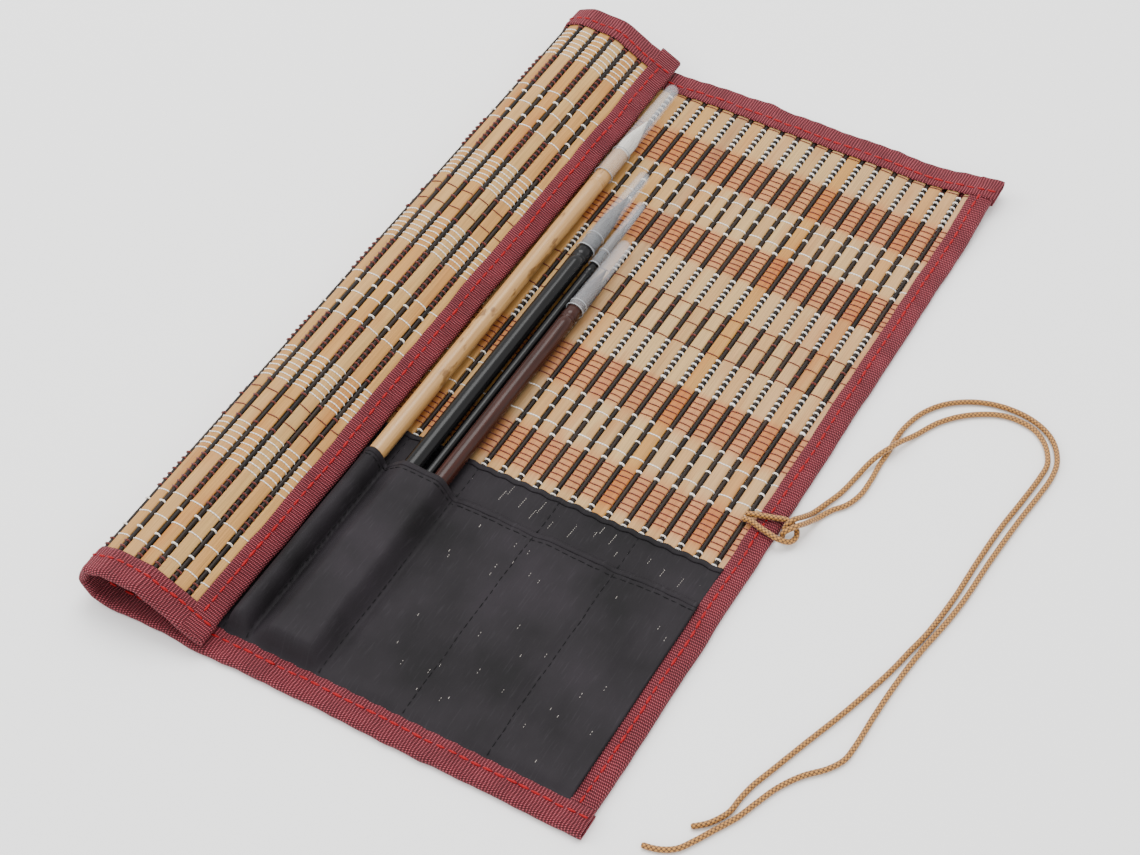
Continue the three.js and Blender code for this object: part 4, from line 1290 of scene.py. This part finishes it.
def handle_profile(brush):
    name, x, radius, rim, tip, cap_y, neck_y, *_ = brush
    start, end = cap_y - HANDLE_END_Y, neck_y - HANDLE_END_Y
    neck = rim - NECK_INSET
    profile = [(0, 0), (0.55 * radius, 0.0), (0.8 * radius, 0.25), (0.94 * radius, 0.7), (radius, 1.5)]
    nodes = [] if name != "bamboo" else [62.0, 148.0]
    along = 1.5
    while along < start - 9.0:
        along += 2.4
        swell = sum(0.13 * math.exp(-((along - place) / 1.5) ** 2) for place in nodes)
        profile.append((radius + swell, along))
    for ring in (start - 6.0, start - 4.8):
        profile += [(radius, ring - 0.3), (radius - 0.16, ring - 0.12), (radius - 0.16, ring + 0.12),
                    (radius, ring + 0.3)]
    profile += [(radius, start - 3.0), (0.5 * (radius + neck), start - 2.2), (neck, start - 1.4),
                (neck, end - 0.6), (neck - 0.25, end - 0.2), (neck - 0.6, end), (0, end)]
    return profile


# Thin bamboo cane with its skin on: pale tan, glossy, freckled brown and darker at the nodes.
cane, tree, shader = new_material("bamboo_cane_skin", Roughness=0.33, IOR=1.5)
shader.inputs["Specular IOR Level"].default_value = 0.3
shader.inputs["Coat Weight"].default_value = 0.25
shader.inputs["Coat Roughness"].default_value = 0.2
where = add(tree, "ShaderNodeTexCoord")
long_place = add(tree, "ShaderNodeMapping",
                 inputs={"Vector": where.outputs["Object"], "Scale": (1100.0, 20.0, 1100.0)})
streaks = add(tree, "ShaderNodeTexNoise", inputs={"Vector": long_place, "Scale": 1.0, "Detail": 3.0})
skin = add(tree, "ShaderNodeValToRGB", inputs={"Fac": streaks.outputs["Fac"]})
skin.color_ramp.elements[0].position = 0.3
skin.color_ramp.elements[0].color = linear("#9C7444")
skin.color_ramp.elements[1].position = 0.7
skin.color_ramp.elements[1].color = linear("#B48C58")
spot_place = add(tree, "ShaderNodeMapping",
                 inputs={"Vector": where.outputs["Object"], "Scale": (1.0, 0.45, 1.0)})
freckles = add(tree, "ShaderNodeTexNoise", inputs={"Vector": spot_place, "Scale": 210.0, "Detail": 3.0})
freckle_share = add(tree, "ShaderNodeMapRange", inputs={"Value": freckles.outputs["Fac"], "From Min": 0.61,
                                                        "From Max": 0.66, "To Max": 0.7})
freckled = add(tree, "ShaderNodeMix", {"data_type": "RGBA"},
               {0: freckle_share, 6: skin.outputs["Color"], 7: linear("#62401C")})
tree.links.new(freckled.outputs[2], shader.inputs["Base Color"])
skin_relief = add(tree, "ShaderNodeBump", inputs={"Height": streaks.outputs["Fac"], "Strength": 0.12,
                                                  "Distance": 0.0001})
tree.links.new(skin_relief.outputs[0], shader.inputs["Normal"])
LACQUERS = {"bamboo": cane}

# Lacquered wood: a smooth gloss in a sprayed colour, faintly dusty and orange-peeled.
for name, deep, light, roughness in (("black", "#0A0A0B", "#121213", 0.22),
                                     ("slim", "#050506", "#0A0A0B", 0.2),
                                     ("brown", "#26110C", "#3A1C15", 0.24)):
    lacquer, tree, shader = new_material("lacquered_wood_" + name, Roughness=roughness, IOR=1.52)
    shader.inputs["Specular IOR Level"].default_value = 0.22
    where = add(tree, "ShaderNodeTexCoord")
    dust_place = add(tree, "ShaderNodeMapping", inputs={"Vector": where.outputs["Object"],
                                                        "Scale": (900.0, 60.0, 900.0)})
    dust = add(tree, "ShaderNodeTexNoise", inputs={"Vector": dust_place, "Scale": 1.0, "Detail": 4.0})
    coat = add(tree, "ShaderNodeValToRGB", inputs={"Fac": dust.outputs["Fac"]})
    coat.color_ramp.elements[0].position = 0.35
    coat.color_ramp.elements[0].color = linear(deep)
    coat.color_ramp.elements[1].position = 0.75
    coat.color_ramp.elements[1].color = linear(light)
    tree.links.new(coat.outputs["Color"], shader.inputs["Base Color"])
    peel = add(tree, "ShaderNodeBump",
               inputs={"Height": dust.outputs["Fac"], "Strength": 0.1, "Distance": 0.0001})
    tree.links.new(peel.outputs[0], shader.inputs["Normal"])
    LACQUERS[name] = lacquer


def uneven_cane(along, angle):
    """How much a cane's radius swells or shrinks at a place on its surface."""
    return 1.0 + 0.02 * noise.noise(Vector((math.cos(angle), along * 0.05, math.sin(angle))))


for brush in BRUSHES:
    name = brush.name
    uneven = uneven_cane if name == "bamboo" else None
    handle = turned("brush_" + name, handle_profile(brush), LACQUERS[name], brush_frame(brush), uneven)
    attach(handle, "brush_" + name)
    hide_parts("brush_%s_handle" % name)

# ---- Brush tufts -------------------------------------------------------------------------
# Tufts of goat and weasel hair, set in the necks and gathered to a point. A few hundred strands
# lie on a solid core of packed hair.
STRANDS = 240
# Spreads successive hairs evenly round the tuft
GOLDEN_ANGLE = 2.39996


def tuft_tree():
    """Geometry Nodes: hairs at points round the neck, each drawn in towards the tuft's tip."""
    tree, given = new_tree("tuft_hairs", ["Tuft Length", "Belly", "Hair Width"])
    end = add(tree, "ShaderNodeCombineXYZ", inputs={"Y": given.outputs["Tuft Length"]})
    line = add(tree, "GeometryNodeCurvePrimitiveLine", inputs={"End": end})
    rings = add(tree, "GeometryNodeResampleCurve", inputs={"Curve": line, "Count": 9})
    reach = add(tree, "FunctionNodeRandomValue", {"data_type": "FLOAT"}, {2: 0.86, 3: 1.0, "Seed": 4})
    sizes = add(tree, "ShaderNodeCombineXYZ", inputs={"X": 1.0, "Y": reach.outputs[1], "Z": 1.0})
    copies = add(tree, "GeometryNodeInstanceOnPoints", inputs={
        "Points": given.outputs["Places"], "Instance": rings, "Scale": sizes})
    real = add(tree, "GeometryNodeRealizeInstances", inputs={0: copies})
    place = add(tree, "GeometryNodeInputPosition")
    axes = add(tree, "ShaderNodeSeparateXYZ", inputs={0: place})
    share = add(tree, "ShaderNodeMath", {"operation": "DIVIDE"},
                {0: axes.outputs["Y"], 1: given.outputs["Tuft Length"]})
    shape = add(tree, "ShaderNodeFloatCurve", inputs={"Value": share})
    curve = shape.mapping.curves[0]
    curve.points[0].location = (0.0, 0.78)
    curve.points[1].location = (1.0, 0.03)
    for spot in ((0.22, 1.0), (0.5, 0.80), (0.8, 0.34)):
        curve.points.new(*spot)
    shape.mapping.update()
    narrowed = add(tree, "ShaderNodeMath", {"operation": "MULTIPLY"}, {0: shape, 1: given.outputs["Belly"]})
    x = add(tree, "ShaderNodeMath", {"operation": "MULTIPLY"}, {0: axes.outputs["X"], 1: narrowed})
    z = add(tree, "ShaderNodeMath", {"operation": "MULTIPLY"}, {0: axes.outputs["Z"], 1: narrowed})
    drawn = add(tree, "ShaderNodeCombineXYZ", inputs={"X": x, "Y": axes.outputs["Y"], "Z": z})
    gathered = add(tree, "GeometryNodeSetPosition", inputs={"Geometry": real, "Position": drawn})
    section = add(tree, "GeometryNodeCurvePrimitiveCircle", inputs={"Resolution": 3,
                                                                    "Radius": given.outputs["Hair Width"]})
    swept = add(tree, "GeometryNodeCurveToMesh", inputs={"Curve": gathered,
                                                         "Profile Curve": section, "Fill Caps": True})
    finish_tree(tree, given, swept)
    return tree


hair_tree = tuft_tree()
# Animal hair: fine, with a soft gloss along the strands and lighter ones among the dark.
for brush, (dark, light, slot) in zip(BRUSHES, (("#CFC7B8", "#F6F2EA", "white_hair"),
                                                ("#24211F", "#55504C", "dark_hair"),
                                                ("#332B25", "#6B5F54", "dark_hair"),
                                                ("#1B1614", "#4A332B", "dark_hair"))):
    name, x, radius, rim, tip, cap_y, neck_y, tuft_y, tip_y = brush
    hair, tree, shader = new_material("animal_hair_" + name, Roughness=0.55, IOR=1.55)
    where = add(tree, "ShaderNodeTexCoord")
    strand_place = add(tree, "ShaderNodeMapping", inputs={"Vector": where.outputs["Object"],
                                                          "Scale": (2600.0, 60.0, 2600.0)})
    strand = add(tree, "ShaderNodeTexNoise", inputs={"Vector": strand_place, "Scale": 1.0})
    strand_tone = add(tree, "ShaderNodeValToRGB", inputs={"Fac": strand.outputs["Fac"]})
    strand_tone.color_ramp.elements[0].position = 0.35
    strand_tone.color_ramp.elements[0].color = linear(dark)
    strand_tone.color_ramp.elements[1].position = 0.7
    strand_tone.color_ramp.elements[1].color = linear(light)
    tree.links.new(strand_tone.outputs["Color"], shader.inputs["Base Color"])
    neck = rim - NECK_INSET
    root = neck_y - HANDLE_END_Y - 0.4
    length = tuft_y - neck_y + 0.4
    chance = random.Random(31)
    roots = []
    for number in range(STRANDS):
        angle = number * GOLDEN_ANGLE
        if number % 2:
            reach = neck * math.sqrt((number + 0.5) / STRANDS) * 0.96
        else:
            reach = neck * chance.uniform(0.9, 1.0)
        roots.append(Vector((math.cos(angle) * reach, 0, math.sin(angle) * reach)) * MM)
    sizes = {"Tuft Length": length * MM, "Belly": 0.93, "Hair Width": 0.085 * MM, "Material": hair}
    tuft = grown("hairs_" + name, hair_tree, roots, sizes)
    tuft.data.transform(brush_frame(brush) @ Matrix.Translation((0, root * MM, 0)))
    core = [(0, root)]
    for share, size in ((0.0, 0.66), (0.1, 0.78), (0.22, 0.84), (0.35, 0.8), (0.5, 0.68), (0.65, 0.48),
                        (0.8, 0.27), (0.92, 0.1)):
        core.append((neck * size, root + length * share))
    core.append((0, root + length * 0.99))
    packed = turned("tuft_" + name, core, hair, brush_frame(brush))
    for piece in (tuft, packed):
        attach(piece, "brush_" + name)
    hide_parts("brush_%s_tuft" % name)

# ---- Clear caps --------------------------------------------------------------------------
# Drawn tubes of clear polypropylene with a thin wall, pinched round at the tip. Each pushes
# over the brush's neck and is held by friction.
CAP_WALL = 0.3
clear_cap, tree, shader = new_material("clear_polypropylene", Roughness=0.16, IOR=1.49, Alpha=0.11)
shader.inputs["Specular IOR Level"].default_value = 0.6
where = add(tree, "ShaderNodeTexCoord")
draw_place = add(tree, "ShaderNodeMapping",
                 inputs={"Vector": where.outputs["Object"], "Scale": (300.0, 25.0, 300.0)})
draw = add(tree, "ShaderNodeTexNoise", inputs={"Vector": draw_place, "Scale": 1.0, "Detail": 2.0})
cloudy = add(tree, "ShaderNodeValToRGB", inputs={"Fac": draw.outputs["Fac"]})
cloudy.color_ramp.elements[0].color = linear("#A8AEB6")
cloudy.color_ramp.elements[1].color = linear("#F0F0F2")
tree.links.new(cloudy.outputs["Color"], shader.inputs["Base Color"])

# The thick moulded lip at each cap's mouth, and a ring where the neck ends inside the cap, are opaque and
# painted pale grey: a painted highlight for the bright glint round these rims.
cap_ring_painted_highlight, tree, shader = new_material("polypropylene_ring_painted_highlight", Roughness=0.3, IOR=1.49)
where = add(tree, "ShaderNodeTexCoord")
lip_clouds = add(tree, "ShaderNodeTexNoise", inputs={"Vector": where.outputs["Object"], "Scale": 800.0})
ring_highlight_tone = add(tree, "ShaderNodeValToRGB", inputs={"Fac": lip_clouds.outputs["Fac"]})
ring_highlight_tone.color_ramp.elements[0].color = linear("#6E7276")
ring_highlight_tone.color_ramp.elements[1].color = linear("#B2B4B6")
tree.links.new(ring_highlight_tone.outputs["Color"], shader.inputs["Base Color"])

for brush in BRUSHES:
    name, x, radius, rim, tip, cap_y, neck_y, tuft_y, tip_y = brush
    start, end = cap_y - HANDLE_END_Y, tip_y - HANDLE_END_Y
    taper = end - 0.9 * tip
    outside = [(rim + 0.08, start), (rim + 0.08, start + 0.5), (rim, start + 0.8)]
    outside += [(rim + (tip - rim) * step / 12, start + 0.8 + (taper - start - 0.8) * step / 12)
                for step in range(1, 13)]
    outside += [(tip * math.cos(angle), taper + 0.9 * tip * math.sin(angle))
                for angle in (0.35, 0.7, 1.0, 1.3)] + [(0, end)]
    inside = [(max(0.0, r - CAP_WALL), y - (CAP_WALL if y > taper else 0)) for r, y in outside[3:-1]]
    profile = [(0, end - 0.9)] + inside[::-1] + [(rim - CAP_WALL, start)] + outside
    cap = turned("cap_shell_" + name, profile, clear_cap, brush_frame(brush))
    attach(cap, "cap_" + name)
    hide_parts("brush_%s_cap" % name)
    # Both rings, the lip and the collar, are pale grey as a painted highlight.
    for lip_name, along, reach in (("lip", start, rim + 0.1), ("collar", neck_y - HANDLE_END_Y, rim - 0.02)):
        lip_profile = [(reach - 0.12 + 0.14 * math.cos(angle), along + 0.24 + 0.2 * math.sin(angle))
                       for angle in (2 * math.pi * step / 8 for step in range(9))]
        lip = turned("cap_%s_%s" % (lip_name, name), lip_profile, cap_ring_painted_highlight, brush_frame(brush))
        seam = bmesh.new()
        seam.from_mesh(lip.data)
        bmesh.ops.remove_doubles(seam, verts=seam.verts[:], dist=1e-6)
        bmesh.ops.recalc_face_normals(seam, faces=seam.faces[:])
        seam.to_mesh(lip.data)
        seam.free()
        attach(lip, "cap_" + name)
